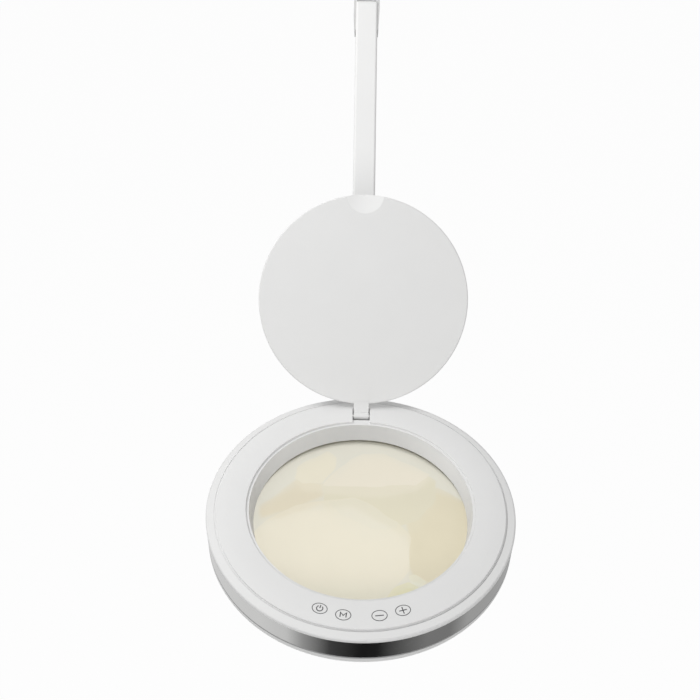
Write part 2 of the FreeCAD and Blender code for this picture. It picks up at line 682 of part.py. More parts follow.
def bottom_shell():
    """The lower shell: rounded lip, web over the light ring, recess for the diffuser, flared opening."""
    body = new_body("bottom_shell")
    section = new_sketch(body, "XZ_Plane")
    lip_outer = band_inner + s.band_wall
    outline(section, [
        (lip_outer, band_foot - s.edge_break),
        (lip_outer - s.edge_break, band_foot),
        (skirt_outer - s.band_gap, band_foot),
        (skirt_outer - s.band_gap, -s.skirt_depth),
        (skirt_inner, -s.skirt_depth),
        (skirt_inner, web_top),
        (mouth_radius + s.shell_wall, web_top),
        (mouth_radius + s.shell_wall, retainer_foot),
        (mouth_radius, retainer_foot),
        (mouth_radius + s.flare, -s.under_drop),
        (recess_inner, -s.under_drop),
        (recess_inner, shoulder_height),
        (tray_inner, shoulder_height),
        (tray_inner, web_foot),
        (tray_outer, web_foot),
        (tray_outer, shoulder_height),
        (recess_outer, shoulder_height),
        (recess_outer, -s.under_drop),
        (lip_outer - s.lip_round, -s.lip_drop),
        (lip_outer, -s.lip_drop + s.lip_round, s.lip_round, CCW),
    ])
    revolve(body, section)
    heads = new_sketch(body, "XY_Plane", -s.counterbore_depth)
    screw_circle(heads, s.screw_head_radius + s.screw_play * 4, shell_circle)
    cut(body, heads, s.under_drop - s.counterbore_depth + s.overshoot)
    shanks = new_sketch(body, "XY_Plane", web_top + s.overshoot)
    screw_circle(shanks, s.screw_radius + s.screw_play, shell_circle)
    cut(body, shanks, s.counterbore_depth - s.web_drop + s.overshoot * 2)
    in_head(body)


def lens_section(sketch, play=0):
    """Half section of the lens from its axis outwards, grown by a play all round."""
    curve = s.lens_curve + play
    edge_radius = s.lens_radius + play
    sagitta = s.lens_curve - (s.lens_curve * s.lens_curve - s.lens_radius * s.lens_radius).root()
    crown = lens_top_edge + sagitta + play
    foot = lens_foot_edge - sagitta - play
    drop = curve - (curve * curve - edge_radius * edge_radius).root()
    outline(sketch, [
        (0, foot),
        (edge_radius, foot + drop, curve, CCW),
        (edge_radius, crown - drop),
        (0, crown, curve, CCW),
    ])


def lens():
    """The biconvex magnifying lens."""
    body = new_body("lens")
    section = new_sketch(body, "XZ_Plane")
    lens_section(section)
    revolve(body, section)
    in_head(body)


def lens_gasket():
    """Rubber channel round the edge of the lens."""
    body = new_body("lens_gasket")
    section = new_sketch(body, "XZ_Plane")
    rectangle(section, s.lens_radius - s.gasket_lip, gasket_foot, gasket_outer, seat_height)
    revolve(body, section)
    channel = new_sketch(body, "XZ_Plane")
    lens_section(channel, s.screw_play)
    revolve(body, channel, cuts=True)
    in_head(body)


def lens_retainer():
    """Flat ring that presses gasket and lens up against their seat."""
    body = new_body("lens_retainer")
    section = new_sketch(body, "XZ_Plane")
    bevel = s.edge_break * 2
    outline(section, [
        (retainer_inner, retainer_foot + bevel),
        (retainer_inner + bevel, retainer_foot),
        (collar_outer, retainer_foot),
        (collar_outer, gasket_foot),
        (retainer_inner, gasket_foot),
    ])
    revolve(body, section)
    holes = new_sketch(body, "XY_Plane", gasket_foot + s.overshoot)
    screw_circle(holes, s.screw_radius + s.screw_play, retainer_circle)
    cut(body, holes, s.retainer_wall + s.overshoot * 2)
    in_head(body)


def head_screws(name, circle_radius, seat, length):
    """Six small screws whose heads hang under a seat."""
    body = new_body(name, group=True)
    heads = new_sketch(body, "XY_Plane", seat - s.screw_head_height)
    screw_circle(heads, s.screw_head_radius, circle_radius)
    pad(body, heads, s.screw_head_height)
    shanks = new_sketch(body, "XY_Plane", seat)
    screw_circle(shanks, s.screw_radius, circle_radius)
    pad(body, shanks, length)
    in_head(body)


def led_board():
    """Ring-shaped board under the web."""
    body = new_body("led_board")
    section = new_sketch(body, "XZ_Plane")
    rectangle(section, tray_inner + s.board_gap, board_foot, tray_outer - s.board_gap, web_foot)
    revolve(body, section)
    in_head(body)


def leds():
    """Circle of light emitting diodes under their board."""
    body = new_body("leds", group=True)
    chip = new_sketch(body, "XY_Plane", board_foot - s.led_height)
    half_length, half_width = s.led_length / 2, s.led_width / 2
    rectangle(chip, light_circle - half_width, -half_length, light_circle + half_width, half_length)
    feature = pad(body, chip, s.led_height)
    repeat_round(body, feature, "Z_Axis", s.led_count, cuts=False)
    in_head(body)


def diffuser():
    """Milky ring over the diodes, flush with the underside."""
    body = new_body("diffuser")
    section = new_sketch(body, "XZ_Plane")
    rectangle(section, diffuser_inner, shoulder_height - s.diffuser_wall, diffuser_outer, shoulder_height)
    revolve(body, section)
    in_head(body)


def touch_board():
    """Board with the four touch fields, flat under the front of the ring."""
    body = new_body("touch_board")
    shape = new_sketch(body, "XY_Plane", under_crown)
    inner, outer = rabbet_radius + s.touch_inset, step_radius - s.touch_inset
    sector(shape, inner, outer, -s.touch_half_angle - 90, s.touch_half_angle - 90)
    pad(body, shape, s.touch_wall, back=True)
    in_head(body)


def driver_board():
    """Driver board on the web with its two coils."""
    body = new_body("driver_board")
    shape = new_sketch(body, "XY_Plane", web_top)
    inner, outer = collar_outer + s.driver_gap, skirt_inner - s.driver_gap
    sector(shape, inner, outer, s.driver_start_angle, s.driver_end_angle)
    pad(body, shape, s.board_wall)
    coils = new_sketch(body, "XY_Plane", web_top + s.board_wall)
    reach = (inner + outer) / 2
    third = (s.driver_end_angle - s.driver_start_angle) / 3
    for angle in (s.driver_start_angle + third, s.driver_end_angle - third):
        circle(coils, s.coil_radius, reach * angle.cos(), reach * angle.sin())
    pad(body, coils, s.coil_height)
    in_head(body)


# Lens cover and its hinge

def lens_cover():
    """Round cover with a hinge tab and barrel at the back and a finger notch at its free edge.

    Its own frame has the hinge axis at zero and the cover closed, towards -Y.
    """
    body = new_body("lens_cover")
    face = ledge_height + s.cover_seat - s.hinge_lift
    disc = new_sketch(body, "XY_Plane", face)
    circle(disc, cover_radius, 0, -hinge_reach)
    pad(body, disc, s.cover_wall)
    break_edges(body, s.cover_bevel, lambda edge: True, rounded=False)

    edge_gap = hinge_reach - cover_radius
    root_near = edge_gap + s.ledge_width
    half = s.tab_width / 2
    tab = new_sketch(body, "XY_Plane", face)
    rectangle(tab, -half, -root_near, half, 0)
    pad(body, tab, s.cover_wall)
    root = new_sketch(body, "XY_Plane", face - s.tab_root_rise)
    rectangle(root, -half, -root_near - s.tab_root, half, -root_near - s.edge_break)
    pad(body, root, s.tab_root_rise + s.edge_break)
    barrel = new_sketch(body, "YZ_Plane")
    circle(barrel, s.barrel_radius)
    pad(body, barrel, s.tab_width, both=True)
    bore = new_sketch(body, "YZ_Plane")
    circle(bore, s.hinge_pin_radius + s.hinge_pin_play)
    cut(body, bore, s.tab_width + s.overshoot * 2, both=True)

    # The notch is the cap of a large sphere, sunk into the inner face at the free edge
    curve = (s.notch_radius * s.notch_radius + s.notch_depth * s.notch_depth) / (s.notch_depth * 2)
    notch = new_sketch(body, "YZ_Plane", 0, -hinge_reach - cover_radius)
    outline(notch, [
        (0, face - s.overshoot),
        (s.notch_radius, face - s.overshoot),
        (s.notch_radius, face),
        (0, face + s.notch_depth, curve, CCW),
    ])
    revolve(body, notch, cuts=True)
    place(body, (0, head_origin[1] + hinge_reach, head_origin[2] + s.hinge_lift), (1, 0, 0), -s.cover_angle)


def cover_hinge_pin():
    """Steel pin through the hinge block and the cover's barrel."""
    body = new_body("cover_hinge_pin")
    section = new_sketch(body, "YZ_Plane")
    circle(section, s.hinge_pin_radius, hinge_reach, s.hinge_lift)
    pad(body, section, s.tab_width + (s.slot_side + s.hinge_cheek) * 2, both=True)
    in_head(body)


# Neck: boss on the head, spindle, tilt fork

def neck_boss():
    """Saddle block on the head's side, which the spindle runs through."""
    body = new_body("neck_boss")
    shape = new_sketch(body, "XY_Plane", -s.neck_drop)
    half, corner = s.boss_width / 2, s.boss_round
    saddle = band_inner + s.band_wall + s.band_gap / 2
    saddle_y = (saddle * saddle - half * half).root()
    outline(shape, [
        (-half, saddle_y),
        (half, saddle_y, saddle, CW),
        (half, boss_back - corner),
        (half - corner, boss_back, corner, CCW),
        (corner - half, boss_back),
        (-half, boss_back - corner, corner, CCW),
    ])
    pad(body, shape, s.boss_height, both=True)
    spindle_hole = new_sketch(body, "XZ_Plane")
    circle(spindle_hole, s.spindle_radius + s.pivot_play, 0, -s.neck_drop)
    cut(body, spindle_hole, boss_back + s.overshoot)
    screw_holes = new_sketch(body, "XZ_Plane", -seat_reach)
    for side in (-1, 1):
        circle(screw_holes, s.boss_screw_radius + s.screw_play, s.boss_screw_spread / 2 * side, -s.neck_drop)
    cut(body, screw_holes, s.boss_screw_bite + s.screw_play)
    in_head(body)


def boss_screws():
    """Two screws from inside the head into the neck boss."""
    body = new_body("boss_screws", group=True)
    heads = new_sketch(body, "XZ_Plane", -seat_reach)
    shanks = new_sketch(body, "XZ_Plane", -seat_reach)
    for side in (-1, 1):
        x = s.boss_screw_spread / 2 * side
        circle(heads, s.screw_head_radius, x, -s.neck_drop)
        circle(shanks, s.boss_screw_radius, x, -s.neck_drop)
    pad(body, heads, s.screw_head_height)
    pad(body, shanks, s.boss_screw_bite, back=True)
    in_head(body)


def neck_spindle():
    """Steel spindle that carries the head and lets it turn about the neck."""
    body = new_body("neck_spindle")
    washer_face = seat_reach - s.running_gap - s.spindle_washer_wall
    start = washer_face - s.nut_height - s.running_gap
    rod = new_sketch(body, "XZ_Plane", -start)
    circle(rod, s.spindle_radius, 0, -s.neck_drop)
    pad(body, rod, boss_back + s.running_gap + s.spindle_bite - start, back=True)
    in_head(body)


def spindle_washer():
    """Washer between the nut and its seat inside the head."""
    body = new_body("spindle_washer")
    ring = new_sketch(body, "XZ_Plane", -seat_reach + s.running_gap)
    circle(ring, s.spindle_washer_radius, 0, -s.neck_drop)
    circle(ring, s.spindle_radius + s.pivot_play, 0, -s.neck_drop)
    pad(body, ring, s.spindle_washer_wall)
    in_head(body)


def spindle_nut():
    """Lock nut on the spindle."""
    body = new_body("spindle_nut")
    face = seat_reach - s.running_gap - s.spindle_washer_wall
    shape = new_sketch(body, "XZ_Plane", -face)
    steps = []
    for index in range(6):
        angle = quantity(index) * 60
        steps.append((s.nut_radius * angle.cos(), s.nut_radius * angle.sin() - s.neck_drop))
    outline(shape, steps)
    circle(shape, s.spindle_radius + s.pivot_play / 2, 0, -s.neck_drop)
    pad(body, shape, s.nut_height)
    in_head(body)


def fork(name, depth, width_across):
    """A fork with two round-topped ears. Its own frame has the pivot axis at zero and the ears up."""
    body = new_body(name)
    side = new_sketch(body, "YZ_Plane")
    outline(side, [
        (s.fork_radius, -depth),
        (s.fork_radius, 0),
        (0, s.fork_radius, s.fork_radius, CCW),
        (-s.fork_radius, 0, s.fork_radius, CCW),
        (-s.fork_radius, -depth),
    ])
    pad(body, side, width_across, both=True)
    gap = new_sketch(body, "XZ_Plane")
    top = s.fork_radius + s.overshoot
    rectangle(gap, -ear_inner, -s.fork_floor, ear_inner, top)
    cut(body, gap, (s.fork_radius + s.overshoot) * 2, both=True)
    bore = new_sketch(body, "YZ_Plane")
    circle(bore, s.pivot_radius + s.pivot_play)
    cut(body, bore, width_across + s.overshoot * 2, both=True)
    return body


def tilt_fork():
    """Fork behind the head, which the arm's eye tilts in."""
    depth = s.neck_length - s.running_gap
    body = fork("tilt_fork", depth, ear_outer * 2)
    socket = new_sketch(body, "XY_Plane", -depth)
    circle(socket, s.spindle_radius + s.pivot_play / 2)
    cut(body, socket, s.spindle_bite, back=True)
    break_edges(body, s.edge_break * 3, lambda edge: upright_corner(edge, s.fork_radius.value, depth.value))
    place(body, tilt_axis, (1, 0, 0), -UPRIGHT)


def upright_corner(edge, half_depth, depth):
    """Picks the four long corner edges at the foot of a fork."""
    box = edge.BoundBox
    outside = abs(abs(box.Center.y) - half_depth) < TINY and abs(abs(box.Center.x) - ear_outer.value) < TINY
    return outside and box.ZLength > depth / 2 and box.YLength < TINY


def pivot_bolt(name, position, grip):
    """Bolt across a pivot, its round head at the left and its end in the knob at the right."""
    body = new_body(name)
    section = new_sketch(body, "XZ_Plane")
    dome = s.edge_break * 2
    outline(section, [
        (-grip - s.bolt_head_height, 0),
        (-grip - s.bolt_head_height, s.bolt_head_radius - dome * 2),
        (-grip - s.bolt_head_height + dome, s.bolt_head_radius),
        (-grip, s.bolt_head_radius),
        (-grip, s.pivot_radius),
        (grip + s.knob_length * BOLT_BITE, s.pivot_radius),
        (grip + s.knob_length * BOLT_BITE, 0),
    ])
    revolve(body, section, axis="H_Axis")
    place(body, position)


def knob(name, position, radius, length, bore, axis=(0, 1, 0), angle=UPRIGHT):
    """Lobed knob on a screw. Its own frame has the bearing face at zero and the knob above it."""
    body = new_body(name)
    section = new_sketch(body, "XZ_Plane")
    hub = radius * KNOB_HUB
    neck_height = length * KNOB_NECK
    corner = radius * KNOB_CORNER
    outline(section, [
        (hub, 0),
        (hub, neck_height),
        (radius, length * KNOB_FLARE),
        (radius, length - corner * 2),
        (radius - corner, length - corner, corner, CCW),
        (radius * KNOB_FACE, length),
        (0, length),
        (0, 0),
    ])
    revolve(body, section)
    flute = new_sketch(body, "XY_Plane", neck_height)
    circle(flute, radius * FLUTE_RADIUS, radius * FLUTE_REACH, 0)
    feature = cut(body, flute, length, back=True)
    repeat_round(body, feature, "Z_Axis", s.knob_lobes, cuts=True)
    hole = new_sketch(body, "XY_Plane")
    circle(hole, bore)
    cut(body, hole, length * KNOB_BORE, back=True)
    place(body, position, axis, angle)


def washers(name, position, angle):
    """The two friction washers beside an eye."""
    body = new_body(name, group=True)
    for side, back in ((1, False), (-1, True)):
        ring = new_sketch(body, "YZ_Plane", eye_half * side)
        circle(ring, s.washer_radius)
        circle(ring, s.pivot_radius + s.pivot_play)
        pad(body, ring, s.washer_wall, back=back)
    place(body, position, (1, 0, 0), angle)


# Arms. Their own frame has the lower axis at zero and the tube along +Y.

def tube(name, width, start, end):
    """Square tube with rounded corners."""
    body = new_body(name)
    section = new_sketch(body, "XZ_Plane", -start)
    rounded_square(section, width, s.tube_corner)
    rounded_square(section, width - s.tube_wall * 2, s.tube_corner - s.tube_wall)
    pad(body, section, end - start, back=True)
    return body


def end_eye(name, width, axis_at, setback, sign):
    """Eye, stem, flange and plug of a tube end. The sign leads from the eye towards the tube."""
    body = new_body(name)
    turn = CCW * sign
    half = s.stem_height / 2
    run = (s.eye_radius * s.eye_radius - half * half).root()
    flange_near = axis_at + (setback - s.flange_wall) * sign
    shape = new_sketch(body, "YZ_Plane")
    outline(shape, [
        (axis_at + run * sign, -half),
        (flange_near, -half),
        (flange_near, half),
        (axis_at + run * sign, half),
        (axis_at - s.eye_radius * sign, 0, s.eye_radius, turn),
        (axis_at + run * sign, -half, s.eye_radius, turn),
    ][1:])
    pad(body, shape, eye_half * 2, both=True)
    flange = new_sketch(body, "XZ_Plane", -flange_near)
    rounded_square(flange, width, s.tube_corner)
    pad(body, flange, s.flange_wall, back=sign > 0)
    plug = new_sketch(body, "XZ_Plane", -axis_at - setback * sign)
    rounded_square(plug, width - (s.tube_wall + s.plug_play) * 2, s.tube_corner - s.tube_wall)
    pad(body, plug, s.plug_length, back=sign > 0)
    bore = new_sketch(body, "YZ_Plane")
    circle(bore, s.pivot_radius + s.pivot_play, axis_at)
    cut(body, bore, width * 2, both=True)
    return body


def lead(name, start, end):
    """The lead's straight stretch inside a tube."""
    body = new_body(name)
    section = new_sketch(body, "XZ_Plane", -start)
    circle(section, s.lead_radius)
    pad(body, section, end - start, back=True)
    return body


def cheek_outline(sketch):
    """Side plate from the upper tube to its round end about the elbow axis."""
    half, corner = s.cheek_height / 2, s.cheek_round
    start = upper_tube_end - s.cheek_overlap
    run = (s.cheek_radius * s.cheek_radius - half * half).root()
    outline(sketch, [
        (s.upper_arm_length - run, -half),
        (s.upper_arm_length + s.cheek_radius, 0, s.cheek_radius, CCW),
        (s.upper_arm_length - run, half, s.cheek_radius, CCW),
        (start + corner, half),
        (start, half - corner, corner, CCW),
        (start, corner - half),
        (start + corner, -half, corner, CCW),
    ])


def cheek_screw_places():
    start = upper_tube_end - s.cheek_overlap / 2
    return (start - s.cheek_screw_pitch / 2, start + s.cheek_screw_pitch / 2)


def elbow_cheek(name, sign):
    """One side plate of the elbow, thinned towards the tube."""
    body = new_body(name)
    plate = new_sketch(body, "YZ_Plane", ear_inner * sign)
    cheek_outline(plate)
    pad(body, plate, s.cheek_wall, back=sign < 0)
    start = upper_tube_end - s.cheek_overlap
    thin = new_sketch(body, "XY_Plane")
    outline(thin, [
        ((ear_inner + s.cheek_thin) * sign, start - s.overshoot),
        (cheek_outer * sign, start + s.cheek_taper),
        ((cheek_outer + s.overshoot) * sign, start + s.cheek_taper),
        ((cheek_outer + s.overshoot) * sign, start - s.overshoot),
    ])
    cut(body, thin, s.cheek_height * 2, both=True)
    holes = new_sketch(body, "YZ_Plane", ear_inner * sign)
    circle(holes, s.pivot_radius + s.pivot_play, s.upper_arm_length)
    for place_along in cheek_screw_places():
        circle(holes, s.cheek_screw_radius + s.screw_play, place_along)
    cut(body, holes, s.cheek_wall + s.overshoot, back=sign > 0)
    recess = new_sketch(body, "YZ_Plane", (ear_inner + s.cheek_seat) * sign)
    for place_along in cheek_screw_places():
        circle(recess, s.cheek_screw_head + s.screw_play, place_along)
    cut(body, recess, s.cheek_wall, back=sign > 0)
    in_upper_arm(body)


def cheek_screws():
    """Four low screws that hold the cheeks on the tube, their heads sunk in the cheeks."""
    body = new_body("cheek_screws", group=True)
    seat = ear_inner + s.cheek_seat
    for sign in (1, -1):
        heads = new_sketch(body, "YZ_Plane", seat * sign)
        shanks = new_sketch(body, "YZ_Plane", seat * sign)
        for place_along in cheek_screw_places():
            circle(heads, s.cheek_screw_head, place_along)
            circle(shanks, s.cheek_screw_radius, place_along)
        pad(body, heads, s.cheek_head_height, back=sign < 0)
        pad(body, shanks, s.cheek_seat + s.tube_wall * 1.6, back=sign > 0)
    in_upper_arm(body)


def upper_arm():
    body = tube("upper_arm_tube", s.arm_width, s.tube_setback, upper_tube_end)
    holes = new_sketch(body, "YZ_Plane")
    for place_along in cheek_screw_places():
        circle(holes, s.cheek_screw_radius + s.screw_play, place_along)
    cut(body, holes, s.arm_width + s.overshoot * 2, both=True)
    in_upper_arm(body)
    in_upper_arm(end_eye("neck_eye", s.arm_width, quantity(0), s.tube_setback, 1))
    washers("neck_washers", tilt_axis, s.arm_angle)
    cap = new_body("upper_end_plug")
    rim = new_sketch(cap, "XZ_Plane", -upper_tube_end)
    rounded_square(rim, s.arm_width, s.tube_corner)
    pad(cap, rim, s.flange_wall, back=True)
    plug = new_sketch(cap, "XZ_Plane", -upper_tube_end)
    rounded_square(plug, s.arm_width - (s.tube_wall + s.plug_play) * 2, s.tube_corner - s.tube_wall)
    pad(cap, plug, s.plug_length / 4)
    in_upper_arm(cap)
    in_upper_arm(lead("upper_arm_lead", s.tube_setback + s.plug_length, upper_tube_end - s.plug_length / 4))
    for name, sign in (("elbow_cheek_left", -1), ("elbow_cheek_right", 1)):
        elbow_cheek(name, sign)
    cheek_screws()
    pivot_bolt("elbow_bolt", elbow_axis, cheek_outer)
    knob_at = (cheek_outer + s.running_gap, elbow_axis[1], elbow_axis[2])
    knob("elbow_knob", knob_at, s.knob_radius, s.knob_length, s.pivot_radius + s.pivot_play)


def lower_arm():
    body = tube("lower_arm_tube", s.lower_arm_width, s.tube_setback, lower_tube_end)
    opening = new_sketch(body, "XY_Plane")
    circle(opening, s.inlet_body_radius + s.plug_play, 0, s.inlet_height)
    cut(body, opening, s.lower_arm_width)
    in_lower_arm(body)
    in_lower_arm(end_eye("base_eye", s.lower_arm_width, quantity(0), s.tube_setback, 1))
    in_lower_arm(end_eye("elbow_eye", s.lower_arm_width, s.lower_arm_length, s.elbow_setback, -1))
    washers("base_washers", base_axis, UPRIGHT)
    washers("elbow_washers", elbow_axis, UPRIGHT)
    in_lower_arm(lead("lower_arm_lead", s.tube_setback + s.plug_length, lower_tube_end - s.plug_length))


def dc_inlet():
    """Round power inlet in the back of the lower tube. Its own frame is the tube's, at the inlet."""
    body = new_body("dc_inlet")
    face = s.lower_arm_width / 2
    mouth = -face - s.inlet_flange_wall
    section = new_sketch(body, "XZ_Plane")
    outline(section, [
        (0, mouth + s.edge_break),
        (s.inlet_pin_radius, mouth + s.edge_break),
        (s.inlet_pin_radius, mouth + s.inlet_bore_depth),
        (s.inlet_bore_radius, mouth + s.inlet_bore_depth),
        (s.inlet_bore_radius, mouth),
        (s.inlet_flange_radius - s.edge_break, mouth),
        (s.inlet_flange_radius, mouth + s.edge_break),
        (s.inlet_flange_radius, -face),
        (s.inlet_body_radius, -face),
        (s.inlet_body_radius, -face + s.inlet_body_length),
        (0, -face + s.inlet_body_length),
    ])
    revolve(body, section)
    place(body, (0, s.pin_setback, s.base_axis_height + s.inlet_height), (1, 0, 0), UPRIGHT)


# Base: fork on its spigot, and the table clamp

def base_fork():
    """Fork of the lower arm on a round collar."""
    depth = s.fork_floor + s.base_yoke
    body = fork("base_fork", depth, ear_outer * 2)
    collar_foot = s.barrel_top + s.bush_flange_wall + s.running_gap - s.base_axis_height
    collar = new_sketch(body, "XY_Plane", collar_foot)
    circle(collar, s.base_collar_radius)
    pad(body, collar, -depth - collar_foot + s.edge_break)
    socket = new_sketch(body, "XY_Plane", collar_foot)
    circle(socket, s.spigot_radius + s.spigot_play)
    cut(body, socket, -depth - collar_foot + s.base_yoke / 2, back=True)
    place(body, base_axis)


def spigot_pin():
    """Steel spigot of the base fork, which turns in the clamp."""
    body = new_body("spigot_pin")
    top = s.base_axis_height - s.fork_floor - s.base_yoke / 2
    bevel = s.edge_break * 2
    section = new_sketch(body, "XZ_Plane")
    outline(section, [
        (0, -s.spigot_foot),
        (s.spigot_radius - bevel, -s.spigot_foot),
        (s.spigot_radius, -s.spigot_foot + bevel),
        (s.spigot_radius, top),
        (0, top),
    ])
    revolve(body, section)
    place(body, (0, s.pin_setback, 0))


def swivel_bush():
    """Flanged nylon bush in the clamp's barrel."""
    body = new_body("swivel_bush")
    bore = s.spigot_radius + s.spigot_play
    section = new_sketch(body, "XZ_Plane")
    outline(section, [
        (bore, -s.spigot_foot),
        (bore + s.bush_wall, -s.spigot_foot),
        (bore + s.bush_wall, s.barrel_top),
        (s.bush_flange_radius, s.barrel_top),
        (s.bush_flange_radius, s.barrel_top + s.bush_flange_wall),
        (bore, s.barrel_top + s.bush_flange_wall),
    ])
    revolve(body, section)
    lock_hole(body, s.lock_radius + s.pivot_play)
    place(body, (0, s.pin_setback, 0))


def lock_hole(body, radius, axis_y=0):
    """Hole from the swivel axis to the back for the lock screw."""
    hole = new_sketch(body, "XZ_Plane", -axis_y)
    circle(hole, radius, 0, -s.lock_drop)
    cut(body, hole, s.clamp_barrel_radius * 2)


def clamp_frame():
    """C-shaped casting: upper jaw, spine, lower jaw with the screw's thread, and the swivel barrel."""
    body = new_body("clamp_frame")
    side = new_sketch(body, "YZ_Plane")
    face = s.jaw_pad_wall
    spine_back = s.throat_back + s.spine_wall
    foot = -s.throat_foot - s.lower_jaw_wall
    corner = s.frame_round
    inner = corner / 2
    outline(side, [
        (-s.jaw_tip, face),
        (s.throat_back - inner, face),
        (s.throat_back, face - inner, inner, CW),
        (s.throat_back, -s.throat_foot + inner),
        (s.throat_back - inner, -s.throat_foot, inner, CW),
        (-s.jaw_tip / 2, -s.throat_foot),
        (-s.jaw_tip / 2, foot + inner),
        (inner - s.jaw_tip / 2, foot, inner, CCW),
        (spine_back - corner, foot),
        (spine_back, foot + corner, corner, CCW),
        (spine_back, face + s.jaw_wall),
        (inner - s.jaw_tip, face + s.jaw_wall),
        (-s.jaw_tip, face + s.jaw_wall - inner, inner, CCW),
    ])
    pad(body, side, s.frame_width, both=True)
    break_edges(body, s.frame_round / 2, spine_corners(spine_back.value, s.jaw_wall.value))
    barrel = new_sketch(body, "XY_Plane", -s.barrel_foot)
    circle(barrel, s.clamp_barrel_radius, 0, s.pin_setback)
    pad(body, barrel, s.barrel_top + s.barrel_foot)
    bore = new_sketch(body, "XY_Plane", s.barrel_top + s.overshoot)
    circle(bore, s.spigot_radius + s.spigot_play + s.bush_wall + s.spigot_play, 0, s.pin_setback)
    cut(body, bore, s.barrel_top + s.spigot_foot + s.overshoot + s.edge_break)
    thread = new_sketch(body, "XY_Plane", -s.throat_foot + s.overshoot)
    circle(thread, s.clamp_screw_radius + s.pivot_play)
    cut(body, thread, s.lower_jaw_wall + s.overshoot * 2)
    lock_hole(body, s.lock_radius + s.pivot_play, s.pin_setback)


def spine_corners(back, least):
    """Makes the test that picks the upright corner edges at the back of the clamp's spine."""
    def chosen(edge):
        box = edge.BoundBox
        return box.ZLength > least and box.XLength < TINY and abs(box.Center.y - back) < TINY
    return chosen


def jaw_pad():
    """Rubber under the upper jaw. Its underside is the table face."""
    body = new_body("jaw_pad")
    shape = new_sketch(body, "XY_Plane")
    half_width, half_length = s.jaw_pad_width / 2, s.jaw_pad_length / 2
    rectangle(shape, -half_width, -half_length, half_width, half_length)
    pad(body, shape, s.jaw_pad_wall)


def foot_pad():
    """Rubber on the pressure plate."""
    body = new_body("foot_pad")
    shape = new_sketch(body, "XY_Plane", -s.foot_drop - s.foot_pad_wall)
    circle(shape, s.foot_radius)
    pad(body, shape, s.foot_pad_wall)


def pressure_plate():
    """Round plate with a hub that turns on the tip of the clamp screw."""
    body = new_body("pressure_plate")
    top = -s.foot_drop - s.foot_pad_wall
    foot = top - s.foot_wall
    hub_foot = foot - s.foot_hub_height
    bore = s.screw_tip_radius + s.pivot_play
    section = new_sketch(body, "XZ_Plane")
    outline(section, [
        (bore, hub_foot),
        (s.foot_hub_radius, hub_foot),
        (s.foot_hub_radius, foot - s.foot_wall / 2),
        (s.foot_radius, foot),
        (s.foot_radius, top),
        (0, top),
        (0, foot),
        (bore, foot),
    ])
    revolve(body, section)


def clamp_screw():
    """Clamp screw with a reduced tip in the hub of the pressure plate."""
    body = new_body("clamp_screw")
    plate_foot = -s.foot_drop - s.foot_pad_wall - s.foot_wall
    hub_foot = plate_foot - s.foot_hub_height
    section = new_sketch(body, "XZ_Plane")
    outline(section, [
        (0, hub_foot - s.clamp_screw_length),
        (s.clamp_screw_radius, hub_foot - s.clamp_screw_length),
        (s.clamp_screw_radius, hub_foot - s.running_gap),
        (s.screw_tip_radius, hub_foot - s.running_gap),
        (s.screw_tip_radius, plate_foot - s.running_gap),
        (0, plate_foot - s.running_gap),
    ])
    revolve(body, section)


def clamp_knob():
    """Large lobed knob at the foot of the clamp screw."""
    hub_foot = -s.foot_drop - s.foot_pad_wall - s.foot_wall - s.foot_hub_height
    face = hub_foot - s.clamp_screw_length + s.clamp_knob_length * 0.7
    bore = s.clamp_screw_radius + s.pivot_play
    knob("clamp_knob", (0, 0, face), s.clamp_knob_radius, s.clamp_knob_length, bore, (1, 0, 0), 180)


def pin_lock():
    """Thumb screw that locks the spigot from behind."""
    tip = s.pin_setback + s.spigot_radius + s.running_gap
    screw = new_body("pin_lock_screw")
    section = new_sketch(screw, "XZ_Plane", -tip)
    circle(section, s.lock_radius, 0, -s.lock_drop)
    pad(screw, section, s.lock_length, back=True)
    face = tip + s.lock_length - s.lock_knob_length * 0.7
    bore = s.lock_radius + s.pivot_play
    position = (0, face, -s.lock_drop)
    knob("pin_lock_knob", position, s.lock_knob_radius, s.lock_knob_length, bore, (1, 0, 0), -UPRIGHT)


top_shell()
chrome_band()
bottom_shell()
lens()
lens_gasket()
lens_retainer()
head_screws("retainer_screws", retainer_circle, retainer_foot, s.retainer_wall + s.retainer_bite)
head_screws("shell_screws", shell_circle, -s.counterbore_depth, s.counterbore_depth - s.web_drop + s.shell_bite)
led_board()
leds()
diffuser()
touch_board()
driver_board()
lens_cover()
cover_hinge_pin()
neck_boss()
boss_screws()
neck_spindle()
spindle_washer()
spindle_nut()
tilt_fork()
pivot_bolt("tilt_bolt", tilt_axis, ear_outer)
tilt_knob_at = (ear_outer + s.running_gap, tilt_axis[1], tilt_axis[2])
knob("tilt_knob", tilt_knob_at, s.knob_radius, s.knob_length, s.pivot_radius + s.pivot_play)
upper_arm()
lower_arm()
dc_inlet()
base_fork()
pivot_bolt("base_bolt", base_axis, ear_outer)
base_knob_at = (ear_outer + s.running_gap, base_axis[1], base_axis[2])
knob("base_knob", base_knob_at, s.knob_radius, s.knob_length, s.pivot_radius + s.pivot_play)
spigot_pin()
swivel_bush()
clamp_frame()
jaw_pad()
pressure_plate()
foot_pad()
clamp_screw()
clamp_knob()
pin_lock()

doc.recompute()
for item in doc.Objects:
    if "Invalid" in item.State or "Error" in item.State:
        raise RuntimeError("%s is %s" % (item.Name, item.State))
for name, body in parts.items():
    if body.Shape.isNull() or not body.Shape.isValid():
        raise RuntimeError("%s has no valid shape" % name)

os.makedirs("parts", exist_ok=True)
for name, body in parts.items():
    body.Shape.exportStep("parts/%s.step" % name)
print("%d pieces written" % len(parts))
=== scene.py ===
import json
import math

import bmesh
import bpy
from mathutils import Matrix, Vector


